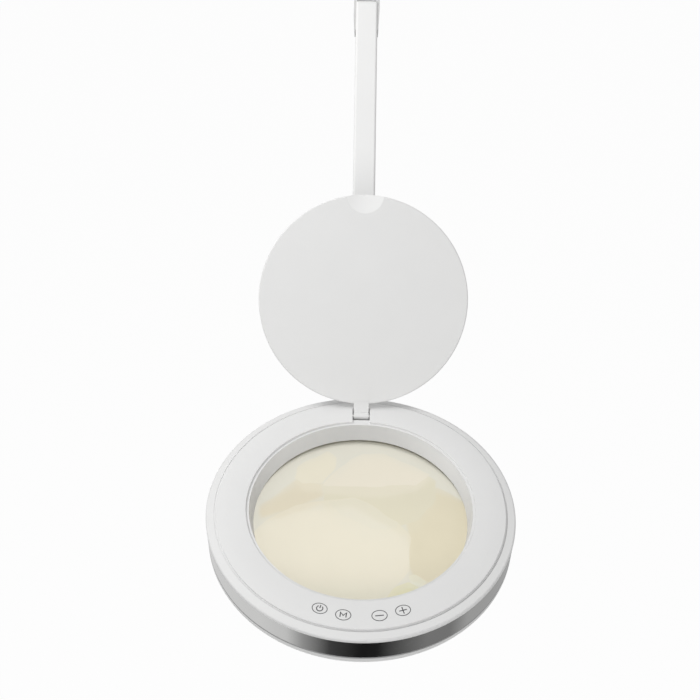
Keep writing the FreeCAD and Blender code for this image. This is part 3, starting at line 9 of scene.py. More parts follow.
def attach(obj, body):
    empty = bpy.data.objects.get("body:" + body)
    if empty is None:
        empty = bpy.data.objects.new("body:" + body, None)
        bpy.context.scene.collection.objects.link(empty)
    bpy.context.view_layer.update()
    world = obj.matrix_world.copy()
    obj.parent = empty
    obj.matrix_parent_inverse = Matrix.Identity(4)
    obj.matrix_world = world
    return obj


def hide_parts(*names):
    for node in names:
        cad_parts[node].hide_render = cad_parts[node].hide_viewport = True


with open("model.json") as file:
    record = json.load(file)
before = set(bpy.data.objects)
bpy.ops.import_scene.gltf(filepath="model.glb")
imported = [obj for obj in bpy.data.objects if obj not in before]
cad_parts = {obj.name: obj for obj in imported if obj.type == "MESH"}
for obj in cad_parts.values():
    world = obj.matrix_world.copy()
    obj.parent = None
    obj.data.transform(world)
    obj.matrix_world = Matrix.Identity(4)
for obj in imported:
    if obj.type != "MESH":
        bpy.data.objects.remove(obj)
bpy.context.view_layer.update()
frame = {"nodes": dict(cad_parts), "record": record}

MM = 0.001
UP = Vector((0, 0, 1))

# Places in the row frame

# In metres: the joints' pivots from the record, and the middle of the head in its rim plane, from which the
# heights on the head are taken
joints = frame["record"]["behaviour"]["joints"]
AXES = {joint["name"]: Vector(joint["pos_m"]) for joint in joints if "pos_m" in joint}
HEAD = AXES["head_tilt"] + Vector((0, -0.154, 0.0112))
FLOOR_HEIGHT = -0.75


# Shader helpers

def node(tree, kind, **values):
    made = tree.nodes.new(kind)
    for name, value in values.items():
        setattr(made, name, value)
    return made


def feed(tree, sockets, values):
    """Gives each input its value: another node's output is linked, a plain value is set."""
    for socket, value in zip(sockets, values):
        if isinstance(value, bpy.types.NodeSocket):
            tree.links.new(value, socket)
        else:
            socket.default_value = value


def number(tree, operation, *values):
    """Output of a number operation on outputs and plain numbers."""
    made = node(tree, "ShaderNodeMath", operation=operation)
    feed(tree, made.inputs, values)
    return made.outputs[0]


def vector(tree, operation, *values):
    """Output of a vector operation on outputs and plain vectors."""
    made = node(tree, "ShaderNodeVectorMath", operation=operation)
    feed(tree, made.inputs, values)
    return made.outputs["Value" if operation in ("DOT_PRODUCT", "LENGTH") else "Vector"]


def times(tree, *shares):
    product = shares[0]
    for share in shares[1:]:
        product = number(tree, "MULTIPLY", product, share)
    return product


def shaded_place(tree):
    """The shaded place in the object's own space: for the part's pieces, the row frame in metres."""
    return node(tree, "ShaderNodeTexCoord").outputs["Object"]


def noise(tree, scale, detail=2.0, roughness=0.5, output="Fac"):
    """A noise texture, its scale in waves per metre."""
    texture = node(tree, "ShaderNodeTexNoise")
    texture.inputs["Scale"].default_value = scale
    texture.inputs["Detail"].default_value = detail
    texture.inputs["Roughness"].default_value = roughness
    tree.links.new(shaded_place(tree), texture.inputs["Vector"])
    return texture.outputs[output]


def spread(tree, source, low, high, start=0.3, end=0.7, course="LINEAR"):
    """Maps start to end, by default the usual span of a noise, onto low to high, and holds both ends."""
    ranger = node(tree, "ShaderNodeMapRange", interpolation_type=course)
    for name, value in (("From Min", start), ("From Max", end), ("To Min", low), ("To Max", high)):
        ranger.inputs[name].default_value = value
    tree.links.new(source, ranger.inputs["Value"])
    return ranger.outputs["Result"]


def mix_colours(tree, factor, first, second):
    mixer = node(tree, "ShaderNodeMix", data_type="RGBA")
    colours = [(*value, 1.0) if isinstance(value, tuple) else value for value in (first, second)]
    feed(tree, (mixer.inputs[0], mixer.inputs[6], mixer.inputs[7]), (factor, *colours))
    return mixer.outputs[2]


def new_material(name):
    made = bpy.data.materials.new(name)
    made.use_nodes = True
    return made, made.node_tree, made.node_tree.nodes["Principled BSDF"]


# Finishes

# Colour, roughness, share by which the colour varies, span by which the roughness varies, grain in waves
# per metre, and strength of the relief
FINISHES = {
    "shell_white": ((0.80, 0.80, 0.795), 0.38, 0.006, 0.05, 900.0, 0.02),
    "mirror_chrome": ((0.80, 0.80, 0.79), 0.09, 0.01, 0.03, 250.0, 0.0),
    "gasket_rubber": ((0.58, 0.57, 0.53), 0.7, 0.05, 0.1, 900.0, 0.2),
    "fitting_plastic": ((0.82, 0.82, 0.815), 0.55, 0.02, 0.06, 900.0, 0.1),
    "zinc_steel": ((0.60, 0.60, 0.58), 0.32, 0.05, 0.08, 1500.0, 0.08),
    "board_white": ((0.82, 0.82, 0.79), 0.4, 0.02, 0.05, 700.0, 0.05),
    "board_green": ((0.03, 0.17, 0.07), 0.4, 0.1, 0.05, 700.0, 0.1),
    "led_phosphor": ((0.85, 0.70, 0.25), 0.3, 0.05, 0.05, 3000.0, 0.05),
    "milky_diffuser": ((0.86, 0.86, 0.83), 0.5, 0.01, 0.05, 900.0, 0.08),
    "arm_white": ((0.85, 0.85, 0.845), 0.45, 0.006, 0.06, 1400.0, 0.09),
    # A darker grey copy of arm_white: painted shade for the shade that falls on the elbow's cheeks.
    "cheek_painted_shade": ((0.62, 0.62, 0.615), 0.4, 0.01, 0.06, 1400.0, 0.09),
    "nylon": ((0.75, 0.74, 0.69), 0.5, 0.03, 0.05, 900.0, 0.06),
    "knob_grey": ((0.045, 0.045, 0.048), 0.5, 0.08, 0.08, 1600.0, 0.25),
    "lead_black": ((0.02, 0.02, 0.02), 0.6, 0.1, 0.1, 900.0, 0.1),
    "inlet_black": ((0.02, 0.02, 0.02), 0.45, 0.1, 0.08, 900.0, 0.1),
    "pad_rubber": ((0.03, 0.03, 0.03), 0.75, 0.1, 0.1, 1200.0, 0.3),
    "mark_grey": ((0.075, 0.075, 0.08), 0.5, 0.05, 0.05, 900.0, 0.0),
}
RELIEF_GRAINS = {"shell_white": 500.0, "arm_white": 900.0, "cheek_painted_shade": 900.0}
RELIEF_HEIGHT = 0.0002
CLOUD_WAVES, FINE_DETAIL, WEAR_ROUGHNESS = 35.0, 3.0, 0.6
OTHER_SOCKETS = {
    "shell_white": ("Specular IOR Level", 0.4),
    "mirror_chrome": ("Metallic", 1.0),
    "zinc_steel": ("Metallic", 1.0),
    "milky_diffuser": ("Transmission Weight", 0.3),
}


def finish_material(name, colour, roughness, colour_vary, rough_vary, grain, relief):
    """A Principled material with fine variation of colour and roughness, and a fine relief."""
    made, tree, shader = new_material(name)
    dark = tuple(part * (1 - colour_vary) for part in colour)
    light = tuple(part * (1 + colour_vary) for part in colour)
    cloud = spread(tree, noise(tree, CLOUD_WAVES, FINE_DETAIL), 0.0, 1.0)
    tree.links.new(mix_colours(tree, cloud, dark, light), shader.inputs["Base Color"])
    fine = noise(tree, grain, FINE_DETAIL, WEAR_ROUGHNESS)
    wear = spread(tree, fine, roughness - rough_vary, roughness + rough_vary)
    tree.links.new(wear, shader.inputs["Roughness"])
    if relief:
        bump = node(tree, "ShaderNodeBump")
        bump.inputs["Strength"].default_value = relief
        bump.inputs["Distance"].default_value = RELIEF_HEIGHT
        tree.links.new(noise(tree, RELIEF_GRAINS.get(name, grain)), bump.inputs["Height"])
        tree.links.new(bump.outputs["Normal"], shader.inputs["Normal"])
    if name in OTHER_SOCKETS:
        socket, value = OTHER_SOCKETS[name]
        shader.inputs[socket].default_value = value
    return made


# Lens of frosted glass with painted reflections in soft patches

# Painted reflections, as soft patches seen from above: colour, softness of the edge, and the corners of a
# convex outline from the middle of the lens, in millimetres. The last and lightest patch is a painted glint.
LENS_BASE = (0.845, 0.822, 0.71)
PAINTED_LENS_REFLECTIONS = [
    ((0.824, 0.755, 0.562), 3.0, [(35, -14), (40, 20), (62, 30), (90, 14), (90, -25), (60, -60), (42, -60),
                                  (36, -48)]),
    ((0.832, 0.758, 0.58), 5.0, [(-80, 10), (-52, 34), (-30, 29), (-28, 8), (-52, 3), (-74, -10)]),
    ((0.912, 0.857, 0.69), 1.5, [(-54, 36), (-52, 50), (-27, 69), (-20, 60), (-21, 47), (-30, 30),
                                 (-46, 29)]),
    ((0.822, 0.776, 0.60), 1.5, [(-30, 29), (-28, 9), (31, -14), (44, -7), (60, 17), (61, 38), (56, 43)]),
    ((0.918, 0.859, 0.713), 1.2, [(-30, 27), (-21, 43), (2, 65), (20, 66), (57, 45), (46, 30), (11, 24)]),
    ((0.913, 0.859, 0.702), 1.5, [(-95, -28), (-72, -5), (-52, 7), (-5, 14), (30, -11), (37, -24), (37, -52),
                                  (17, -79), (-20, -98), (-95, -70)]),
    ((0.885, 0.845, 0.70), 2.0, [(-24, 9), (-5, 13), (30, -11), (28, -16), (8, -18), (-14, -7)]),
    ((0.87, 0.835, 0.555), 1.2, [(16, -80), (26, -67), (36, -62), (44, -66), (40, -76)]),
    ((1.0, 0.94, 0.76), 1.2, [(36, -57), (41, -55), (49, -60), (45, -65), (38, -63)]),
]

# How far the outlines waver, in metres, in how many waves per metre, and how round their corners are, in
# metres
PATCH_WOBBLE, PATCH_WAVES, PATCH_CORNER = 0.007, 40.0, 0.002
LENS_CLOUD_WAVES, LENS_DARK, LENS_LIGHT = 28.0, 0.985, 1.01

# Painted light and shade: factors on the colour at the lens's front, painted lighter, and its back, painted
# darker, and where they are reached, in metres from its middle
FRONT_PAINTED_LIGHT, BACK_PAINTED_SHADE, FRONT_END, BACK_END = 1.115, 0.94, -0.07, 0.02
LENS_WAVES, LENS_SMOOTH, LENS_ROUGH, LENS_INDEX = 60.0, 0.285, 0.33, 1.5


def in_patch(tree, place, corners, softness):
    """1 where a place lies inside all edges of a patch, 0 where it doesn't, and soft between."""
    points = [Vector((x, y, 0)) * MM for x, y in corners]
    area = sum(a.x * b.y - b.x * a.y for a, b in zip(points, points[1:] + points[:1]))
    if area < 0:
        points.reverse()
    inside = None
    for start, end in zip(points, points[1:] + points[:1]):
        edge = (end - start).normalized()
        inward = Vector((-edge.y, edge.x, 0))
        depth = number(tree, "SUBTRACT", vector(tree, "DOT_PRODUCT", place, inward), start.dot(inward))
        if inside is None:
            inside = depth
        else:
            inside = number(tree, "SMOOTH_MIN", inside, depth, PATCH_CORNER)
    return spread(tree, inside, 0.0, 1.0, -softness * MM / 2, softness * MM / 2, "SMOOTHSTEP")


def lens_colour(tree):
    """The painted reflections over the lens's own colour, with painted light that makes the front of the
    lens lighter than its back.
    """
    wobble = noise(tree, PATCH_WAVES, 1.0, output="Color")
    shift = vector(tree, "MULTIPLY_ADD", wobble, (PATCH_WOBBLE, PATCH_WOBBLE, 0.0),
                   (-PATCH_WOBBLE / 2, -PATCH_WOBBLE / 2 - HEAD.y, 0.0))
    place = vector(tree, "ADD", shaded_place(tree), shift)
    cloud = spread(tree, noise(tree, LENS_CLOUD_WAVES), 0.0, 1.0)
    colour = mix_colours(tree, cloud, tuple(part * LENS_DARK for part in LENS_BASE),
                         tuple(part * LENS_LIGHT for part in LENS_BASE))
    for tint, softness, corners in PAINTED_LENS_REFLECTIONS:
        colour = mix_colours(tree, in_patch(tree, place, corners, softness), colour, tint)
    parts = node(tree, "ShaderNodeSeparateXYZ")
    tree.links.new(place, parts.inputs[0])
    painted_gradient = spread(tree, parts.outputs["Y"], FRONT_PAINTED_LIGHT, BACK_PAINTED_SHADE, FRONT_END, BACK_END)
    return vector(tree, "MULTIPLY", colour, painted_gradient)


def lens_material():
    made, tree, shader = new_material("lens_glass")
    tree.links.new(lens_colour(tree), shader.inputs["Base Color"])
    frost = spread(tree, noise(tree, LENS_WAVES), LENS_SMOOTH, LENS_ROUGH)
    tree.links.new(frost, shader.inputs["Roughness"])
    shader.inputs["IOR"].default_value = LENS_INDEX
    shader.inputs["Transmission Weight"].default_value = 1.0
    return made


MATERIALS = {name: finish_material(name, *values) for name, values in FINISHES.items()}
MATERIALS["lens_glass"] = lens_material()


def dress_nodes():
    """Gives every CAD node the finish of its slot, and the elbow's cheeks a darker grey of painted shade."""
    for entry in frame["record"]["subparts"]:
        shown = frame["nodes"][entry["node"]]
        shown.data.materials.clear()
        shown.data.materials.append(MATERIALS[entry["material_slot"]])
    for side in ("left", "right"):
        frame["nodes"]["elbow_cheek_" + side].data.materials[0] = MATERIALS["cheek_painted_shade"]


dress_nodes()


# Painted light and shade on the shells

# Places and sizes in metres of painted light and shade: the cover's finger scoop and the side walls of the
# lens well, painted lighter, the groove at the foot of the raised ring, painted darker at its front right
# and lighter opposite, and a strip under the chrome band, painted darker. Heights and reaches on the head
# are from its middle.
SCOOP_MIDDLE = AXES["cover_flip"] + Vector((0, 0.1077, 0.1523))
SCOOP_INWARDS = Vector((0, -0.8192, 0.5736))
SCOOP_RADIUS, SCOOP_DEPTH, SCOOP_EDGE = 0.0158, 0.0019, 0.0002
WELL_RADIUS, WELL_TOP = 0.0870, 0.0014
WELL_SIDE_START, WELL_SIDE_END = 0.02, 0.07
GROOVE_NEAR, GROOVE_FAR = 0.1127, 0.1138
SHADED_SIDE, SHADED_SIDE_END = Vector((0.4226, -0.9063, 0)), 0.08
BAND_FOOT, BAND_SHADE_HEIGHT = HEAD.z - 0.0203, 0.0014
EDGE = 0.0003

# Colours of the painted light and shade: the scoop and the well's side walls are painted lighter, the groove
# is painted darker at its shaded front right and lighter opposite, and the strip under the chrome band is
# painted darker.
SCOOP_PAINTED_LIGHT = (0.875, 0.875, 0.87)
WELL_LEFT_PAINTED_LIGHT, WELL_RIGHT_PAINTED_LIGHT = (0.95, 0.95, 0.945), (0.90, 0.90, 0.895)
GROOVE_PAINTED_SHADE, GROOVE_PAINTED_LIGHT = (0.6, 0.6, 0.6), (0.93, 0.93, 0.93)
BAND_PAINTED_SHADE = (0.33, 0.33, 0.33)


def rise(tree, source, start):
    """A short step from 0 to 1 that begins at start."""
    return spread(tree, source, 0.0, 1.0, start, start + EDGE)


def fall(tree, source, end):
    """A short step from 1 to 0 that ends at end."""
    return spread(tree, source, 1.0, 0.0, end - EDGE, end)


def from_point(tree, origin):
    """Vector from a point of the row frame to the shaded place."""
    return vector(tree, "SUBTRACT", shaded_place(tree), origin)


def along(tree, offset, direction):
    return vector(tree, "DOT_PRODUCT", offset, direction)


def reach_of(tree, offset):
    """Distance from the upright axis through the point that an offset starts from."""
    return vector(tree, "LENGTH", vector(tree, "MULTIPLY", offset, (1.0, 1.0, 0.0)))


def in_scoop(tree):
    """The hollow of the scoop, painted lighter as painted light: near its middle, and not past its depth on
    the outer side.
    """
    offset = from_point(tree, SCOOP_MIDDLE)
    distance, depth = vector(tree, "LENGTH", offset), along(tree, offset, SCOOP_INWARDS)
    near = spread(tree, distance, 1.0, 0.0, SCOOP_RADIUS - 3 * SCOOP_EDGE, SCOOP_RADIUS + SCOOP_EDGE)
    return times(tree, near, spread(tree, depth, 0.0, 1.0, -SCOOP_DEPTH - SCOOP_EDGE, -SCOOP_DEPTH))


def in_well(tree, side):
    """The wall of the lens well, at its right (side 1) or its left (side -1), painted lighter as painted
    light.
    """
    offset = from_point(tree, HEAD)
    sideways, height = along(tree, offset, Vector((side, 0, 0))), along(tree, offset, UP)
    share = spread(tree, sideways, 0.0, 1.0, WELL_SIDE_START, WELL_SIDE_END)
    return times(tree, fall(tree, reach_of(tree, offset), WELL_RADIUS), fall(tree, height, WELL_TOP), share)


def in_groove(tree, side):
    """The groove and the riser over it, at the shaded front right (side 1), painted darker as painted shade,
    or opposite (side -1), painted lighter as painted light.
    """
    offset = from_point(tree, HEAD)
    reach, sideways = reach_of(tree, offset), along(tree, offset, SHADED_SIDE * side)
    share = spread(tree, sideways, 0.0, 1.0, 0.0, SHADED_SIDE_END)
    return times(tree, rise(tree, reach, GROOVE_NEAR), fall(tree, reach, GROOVE_FAR), share)


# The strip just under the chrome band, painted darker as painted shade.
def in_band_shade(tree):
    height = along(tree, from_point(tree, Vector((0, 0, BAND_FOOT))), UP)
    return spread(tree, height, 0.0, 1.0, -BAND_SHADE_HEIGHT - EDGE, -BAND_SHADE_HEIGHT + EDGE)


def paint_light_and_shade(name, *paints):
    """Paints light and shade onto a node: second colours, each with the function that gives its share and
    the side for that.
    """
    made = frame["nodes"][name].data.materials[0].copy()
    made.name = name + "_paint"
    tree = made.node_tree
    base = tree.nodes["Principled BSDF"].inputs["Base Color"]
    colour = base.links[0].from_socket
    for tint, weigh, *side in paints:
        colour = mix_colours(tree, weigh(tree, *side), colour, tint)
    tree.links.new(colour, base)
    frame["nodes"][name].data.materials[0] = made


paint_light_and_shade("lens_cover", (SCOOP_PAINTED_LIGHT, in_scoop))
paint_light_and_shade("top_shell", (WELL_LEFT_PAINTED_LIGHT, in_well, -1), (WELL_RIGHT_PAINTED_LIGHT, in_well, 1),
         (GROOVE_PAINTED_SHADE, in_groove, 1), (GROOVE_PAINTED_LIGHT, in_groove, -1))
paint_light_and_shade("bottom_shell", (BAND_PAINTED_SHADE, in_band_shade))


# Pieces in mesh code

CREASE = math.radians(35.0)
WELD = 1e-7


def add_piece(name, points, faces, body, slot, paint):
    """A mesh piece in the row frame, smooth except at creases, which rides on a body."""
    mesh = bpy.data.meshes.new(name)
    mesh.from_pydata(points, [], faces)
    welded = bmesh.new()
    welded.from_mesh(mesh)
    bmesh.ops.remove_doubles(welded, verts=welded.verts, dist=WELD)
    welded.to_mesh(mesh)
    welded.free()
    for face in mesh.polygons:
        face.use_smooth = True
    mesh.set_sharp_from_angle(angle=CREASE)
    mesh.materials.append(MATERIALS[paint])
    piece = bpy.data.objects.new(name, mesh)
    bpy.context.scene.collection.objects.link(piece)
    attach(piece, body)
    return piece


def joined(parts):
    """One list of points and faces from several."""
    points, faces = [], []
    for some_points, some_faces in parts:
        base = len(points)
        points += some_points
        faces += [tuple(base + index for index in face) for face in some_faces]
    return points, faces


# Touch marks of thin ink that follows the ring's camber

# Lengths in millimetres. A mark's place is its angle from the front, in degrees, and its reach from the
# middle of the head.
RING_MIDDLE, RING_CAMBER, RING_TOP = 100.6, 106.7, 4.0
INK_OVER, INK_UNDER, MITRE_LIMIT = 0.04, 0.03, 0.5
MARK_PLACES = {
    "mark_power": (-16.7, 100.5),
    "mark_mode": (-6.9, 102.0),
    "mark_less": (7.4, 102.2),
    "mark_more": (17.1, 101.2),
}
OVAL_HALF_WIDTH, OVAL_HALF_HEIGHT, OVAL_LINE, SYMBOL_LINE = 5.4, 4.15, 0.55, 0.75
OVAL_STEPS, ARC_STEPS, LINE_STEPS = 72, 30, 6
POWER_RADIUS, POWER_GAP, POWER_FOOT, POWER_TIP = 2.2, 38, 0.2, 2.8
LETTER_HALF_WIDTH, LETTER_HALF_HEIGHT, LETTER_MIDDLE = 2.1, 1.9, -0.6
LESS_HALF_LENGTH, MORE_HALF_LENGTH = 3.1, 2.8


def on_ring(angle, reach, across, inwards, lift):
    """A point on the ring beside a mark: across runs along the rim, inwards to the middle of the head."""
    x = reach * math.sin(angle) + across * math.cos(angle) - inwards * math.sin(angle)
    y = -reach * math.cos(angle) + across * math.sin(angle) + inwards * math.cos(angle)
    off = math.hypot(x, y) - RING_MIDDLE
    z = RING_TOP - RING_CAMBER + math.sqrt(RING_CAMBER ** 2 - off ** 2) + lift
    return HEAD + Vector((x, y, z)) * MM


def arc_line(radius, start, end, steps):
    """Points of an arc, its angles in degrees from the inward direction."""
    angles = [math.radians(start + (end - start) * step / steps) for step in range(steps + 1)]
    return [(radius * math.sin(angle), radius * math.cos(angle)) for angle in angles]


def straight_line(start, end):
    shares = [step / LINE_STEPS for step in range(LINE_STEPS + 1)]
    return [tuple(a + (b - a) * share for a, b in zip(start, end)) for share in shares]


def strip(angle, reach, path, width, closed):
    """A line of ink along a path, its corners mitred where the path is open."""
    points, faces = [], []
    count = len(path)
    for index, (across, inwards) in enumerate(path):
        before = path[index - 1] if closed or index else path[0]
        after = path[(index + 1) % count] if closed or index + 1 < count else path[-1]
        ahead = Vector((after[0] - before[0], after[1] - before[1])).normalized()
        side = Vector((-ahead.y, ahead.x)) * width / 2
        mitre = 1.0
        if 0 < index < count - 1 and not closed:
            first = Vector((across - before[0], inwards - before[1])).normalized()
            mitre = 1.0 / max(MITRE_LIMIT, abs(first.dot(ahead)))
        for sign in (1, -1):
            for lift in (INK_OVER, -INK_UNDER):
                points.append(on_ring(angle, reach, across + side.x * sign * mitre,
                                      inwards + side.y * sign * mitre, lift))
    for index in range(count if closed else count - 1):
        a, b = 4 * index, 4 * ((index + 1) % count)
        faces += [(a, a + 2, b + 2, b), (a + 1, b + 1, b + 3, a + 3),
                  (a, b, b + 1, a + 1), (a + 2, a + 3, b + 3, b + 2)]
    if not closed:
        end = 4 * (count - 1)
        faces += [(0, 1, 3, 2), (end, end + 2, end + 3, end + 1)]
    return points, faces


def make_mark(name, degrees, reach, symbol):
    """A touch mark: an oval, and a symbol of one or more lines."""
    angle = math.radians(degrees)
    circle = arc_line(1.0, 0, 360, OVAL_STEPS)[:-1]
    oval = [(x * OVAL_HALF_WIDTH, y * OVAL_HALF_HEIGHT) for x, y in circle]
    strips = [strip(angle, reach, oval, OVAL_LINE, True)]
    strips += [strip(angle, reach, line, SYMBOL_LINE, False) for line in symbol]
    add_piece(name, *joined(strips), "head", "knob_grey", "mark_grey")


def make_marks():
    side, top = LETTER_HALF_WIDTH, LETTER_HALF_HEIGHT
    less, more = LESS_HALF_LENGTH, MORE_HALF_LENGTH
    symbols = {
        "mark_power": [arc_line(POWER_RADIUS, POWER_GAP, 360 - POWER_GAP, ARC_STEPS),
                       straight_line((0.0, POWER_FOOT), (0.0, POWER_TIP))],
        "mark_mode": [[(-side, -top), (-side, top), (0.0, LETTER_MIDDLE), (side, top), (side, -top)]],
        "mark_less": [straight_line((-less, 0.0), (less, 0.0))],
        "mark_more": [straight_line((-more, 0.0), (more, 0.0)), straight_line((0.0, -more), (0.0, more))],
    }
    for name, (degrees, reach) in MARK_PLACES.items():
        make_mark(name, degrees, reach, symbols[name])


# Screws and bolts with their threads and recesses

# Lengths in millimetres, each screw along its own axis. A pivot bolt has its name, its joint, half the
# width that it clamps, and the body that it rides on.
PIVOT_BOLTS = (("tilt", "head_tilt", 15.25, "neck"), ("base", "base_tilt", 15.25, "base_swivel"),
               ("elbow", "elbow", 12.25, "upper_arm"))
BOLT_SOCKET, BOLT_PAST_GRIP = 5.0, 10.5
CROSS_REACH, CROSS_HALF_WIDTH, LEAST_SINE = 1.5, 0.36, 1e-6
RECESS_TAPER, TIP_BEVEL = 0.88, 0.25
ARM_SLOPE = math.radians(39.0)
CHEEK_FACE, CHEEK_SCREW_REACHES = 10.75, (345.0, 353.0)
SHELL_SCREW_COUNT, SHELL_SCREW_CIRCLE, SHELL_SCREW_SEAT = 6, 109.5, -26.5
CLAMP_THREAD = {"crest": 5.0, "root": 4.15, "pitch": 1.5, "start": -139.0, "end": -55.2}
CLAMP_TIP_FOOT, CLAMP_TIP_RINGS = -56.0, ((0, 3.5), (8.2, 3.5), (8.8, 2.9))
LOCK_THREAD = {"crest": 3.0, "root": 2.45, "pitch": 1.0, "start": 0.0, "end": 24.0}
LOCK_TIP = Vector((0, 43.2, -6.0))
BOLT_STEPS, SCREW_STEPS, THREAD_STEPS = 60, 40, 28


def round_outline(radius):
    return lambda angle: radius


def hexagon(across_flats):
    """Outline of a hexagonal socket."""
    sixth = math.tau / 6
    return lambda angle: across_flats / 2 / math.cos((angle + sixth / 2) % sixth - sixth / 2)


def cross(angle):
    """Outline of a cross recess."""
    off = (angle + math.pi / 4) % (math.pi / 2) - math.pi / 4
    return min(CROSS_REACH / math.cos(off), CROSS_HALF_WIDTH / max(abs(math.sin(off)), LEAST_SINE))


def spun(rings, place, steps):
    """Skin over rings along an axis, each a height and an outline, and closed at both ends."""
    points, faces = [], []
    for height, outline in rings:
        for step in range(steps):
            angle = math.tau * step / steps
            reach = outline(angle)
            points.append(place @ Vector((reach * math.cos(angle), reach * math.sin(angle), height)))
    for row in range(len(rings) - 1):
        for step in range(steps):
            following = (step + 1) % steps
            faces.append((row * steps + step, row * steps + following,
                          (row + 1) * steps + following, (row + 1) * steps + step))
    for height, base in ((rings[0][0], 0), (rings[-1][0], (len(rings) - 1) * steps)):
        points.append(place @ Vector((0, 0, height)))
        middle = len(points) - 1
        for step in range(steps):
            ends = (base + step, base + (step + 1) % steps)
            faces.append((*(ends if base else reversed(ends)), middle))
    return points, faces


def screw_rings(recess, recess_depth, face_radius, head_radius, bevel, head_height, shank_radius, length):
    """Rings of a screw from the floor of its recess to its tip. The bearing face is at height zero."""
    top = -head_height
    return [
        (top + recess_depth, lambda angle: recess(angle) * RECESS_TAPER),
        (top, recess),
        (top, round_outline(face_radius)),
        (top + bevel / 3, round_outline((face_radius + 2 * head_radius) / 3)),
        (top + bevel, round_outline(head_radius)),
        (0, round_outline(head_radius)),
        (0, round_outline(shank_radius)),
        (length - shank_radius * TIP_BEVEL, round_outline(shank_radius)),
        (length, round_outline(shank_radius * (1 - TIP_BEVEL))),
    ]


def thread(crest, root, pitch, start, end, place):
    """A screw thread between two heights, closed at both ends."""
    points, faces = [], []
    total = (math.ceil((end - start) / pitch + 0.5) + 1) * THREAD_STEPS
    for index in range(-THREAD_STEPS, total + 1):
        angle = math.tau * index / THREAD_STEPS
        for shift, reach in ((-0.5, root), (0.0, crest)):
            height = start + pitch * (index / THREAD_STEPS + shift)
            if not start < height < end:
                height = min(max(height, start), end)
                reach = root
            points.append(place @ Vector((reach * math.cos(angle), reach * math.sin(angle), height)))
    count = len(points) // 2
    for index in range(count - 1):
        low, high = 2 * index, 2 * index + 2
        faces.append((low, high, high + 1, low + 1))
        if index + THREAD_STEPS + 1 < count:
            above = low + 2 * THREAD_STEPS
            faces.append((low + 1, high + 1, above + 2, above))
    for height, first, turn in ((start, 0, 1), (end, 2 * (count - 1 - THREAD_STEPS), -1)):
        points.append(place @ Vector((0, 0, height)))
        for step in range(THREAD_STEPS):
            ends = (first + 2 * step, first + 2 * step + 2)
            faces.append((*(ends if turn < 0 else reversed(ends)), len(points) - 1))
    return points, faces


def axis_place(origin, axis):
    """Matrix from millimetres along an axis at an origin in metres to the row frame."""
    turn = Vector(axis).to_track_quat("Z", "Y").to_matrix().to_4x4()
    return Matrix.Translation(origin) @ turn @ Matrix.Scale(MM, 4)


def make_bolts():
    for name, joint_name, half_grip, body in PIVOT_BOLTS:
        rings = screw_rings(hexagon(BOLT_SOCKET), recess_depth=2.2, face_radius=5.4, head_radius=7.0,
                            bevel=0.8, head_height=3.2, shank_radius=4.0,
                            length=half_grip * 2 + BOLT_PAST_GRIP)
        place = axis_place(AXES[joint_name] - Vector((half_grip * MM, 0, 0)), (1, 0, 0))
        skin = spun(rings, place, BOLT_STEPS)
        bolt = add_piece(name + "_socket_bolt", *skin, body, "zinc_steel", "zinc_steel")
        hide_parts(name + "_bolt")


def make_cheek_screws():
    rings = screw_rings(cross, recess_depth=0.5, face_radius=2.3, head_radius=2.8, bevel=0.25,
                        head_height=0.7, shank_radius=1.5, length=2.9)
    slope = Vector((0, math.cos(ARM_SLOPE), math.sin(ARM_SLOPE)))
    parts = []
    for side in (1, -1):
        for reach in CHEEK_SCREW_REACHES:
            seat = AXES["head_tilt"] + (Vector((CHEEK_FACE * side, 0, 0)) + slope * reach) * MM
            parts.append(spun(rings, axis_place(seat, (-side, 0, 0)), SCREW_STEPS))
    screws = add_piece("cheek_cross_screws", *joined(parts), "upper_arm", "zinc_steel", "zinc_steel")
    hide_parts("cheek_screws")


def make_shell_screws():
    rings = screw_rings(cross, recess_depth=1.1, face_radius=2.0, head_radius=2.6, bevel=0.5,
                        head_height=1.6, shank_radius=1.25, length=14.0)
    parts = []
    for index in range(SHELL_SCREW_COUNT):
        angle = math.tau * index / SHELL_SCREW_COUNT
        seat = Vector((SHELL_SCREW_CIRCLE * math.cos(angle), SHELL_SCREW_CIRCLE * math.sin(angle),
                       SHELL_SCREW_SEAT)) * MM
        parts.append(spun(rings, axis_place(HEAD + seat, UP), SCREW_STEPS))
    screws = add_piece("shell_cross_screws", *joined(parts), "head", "zinc_steel", "zinc_steel")
    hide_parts("shell_screws")


def make_clamp_screw():
    rings = [(height, round_outline(radius)) for height, radius in CLAMP_TIP_RINGS]
    tip = spun(rings, axis_place(UP * CLAMP_TIP_FOOT * MM, UP), SCREW_STEPS)
    rod = joined([thread(**CLAMP_THREAD, place=axis_place(Vector((0, 0, 0)), UP)), tip])
    screw = add_piece("clamp_screw_rod", *rod, "clamp_screw", "zinc_steel", "zinc_steel")
    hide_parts("clamp_screw")


def make_lock_screw():
    rod = thread(**LOCK_THREAD, place=axis_place(LOCK_TIP * MM, (0, 1, 0)))
    lock = add_piece("pin_lock_rod", *rod, "pin_lock", "zinc_steel", "zinc_steel")
    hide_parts("pin_lock_screw")


make_marks()
make_bolts()
make_cheek_screws()
make_shell_screws()
make_clamp_screw()
make_lock_screw()


# Floor, world, cards, lamps and camera

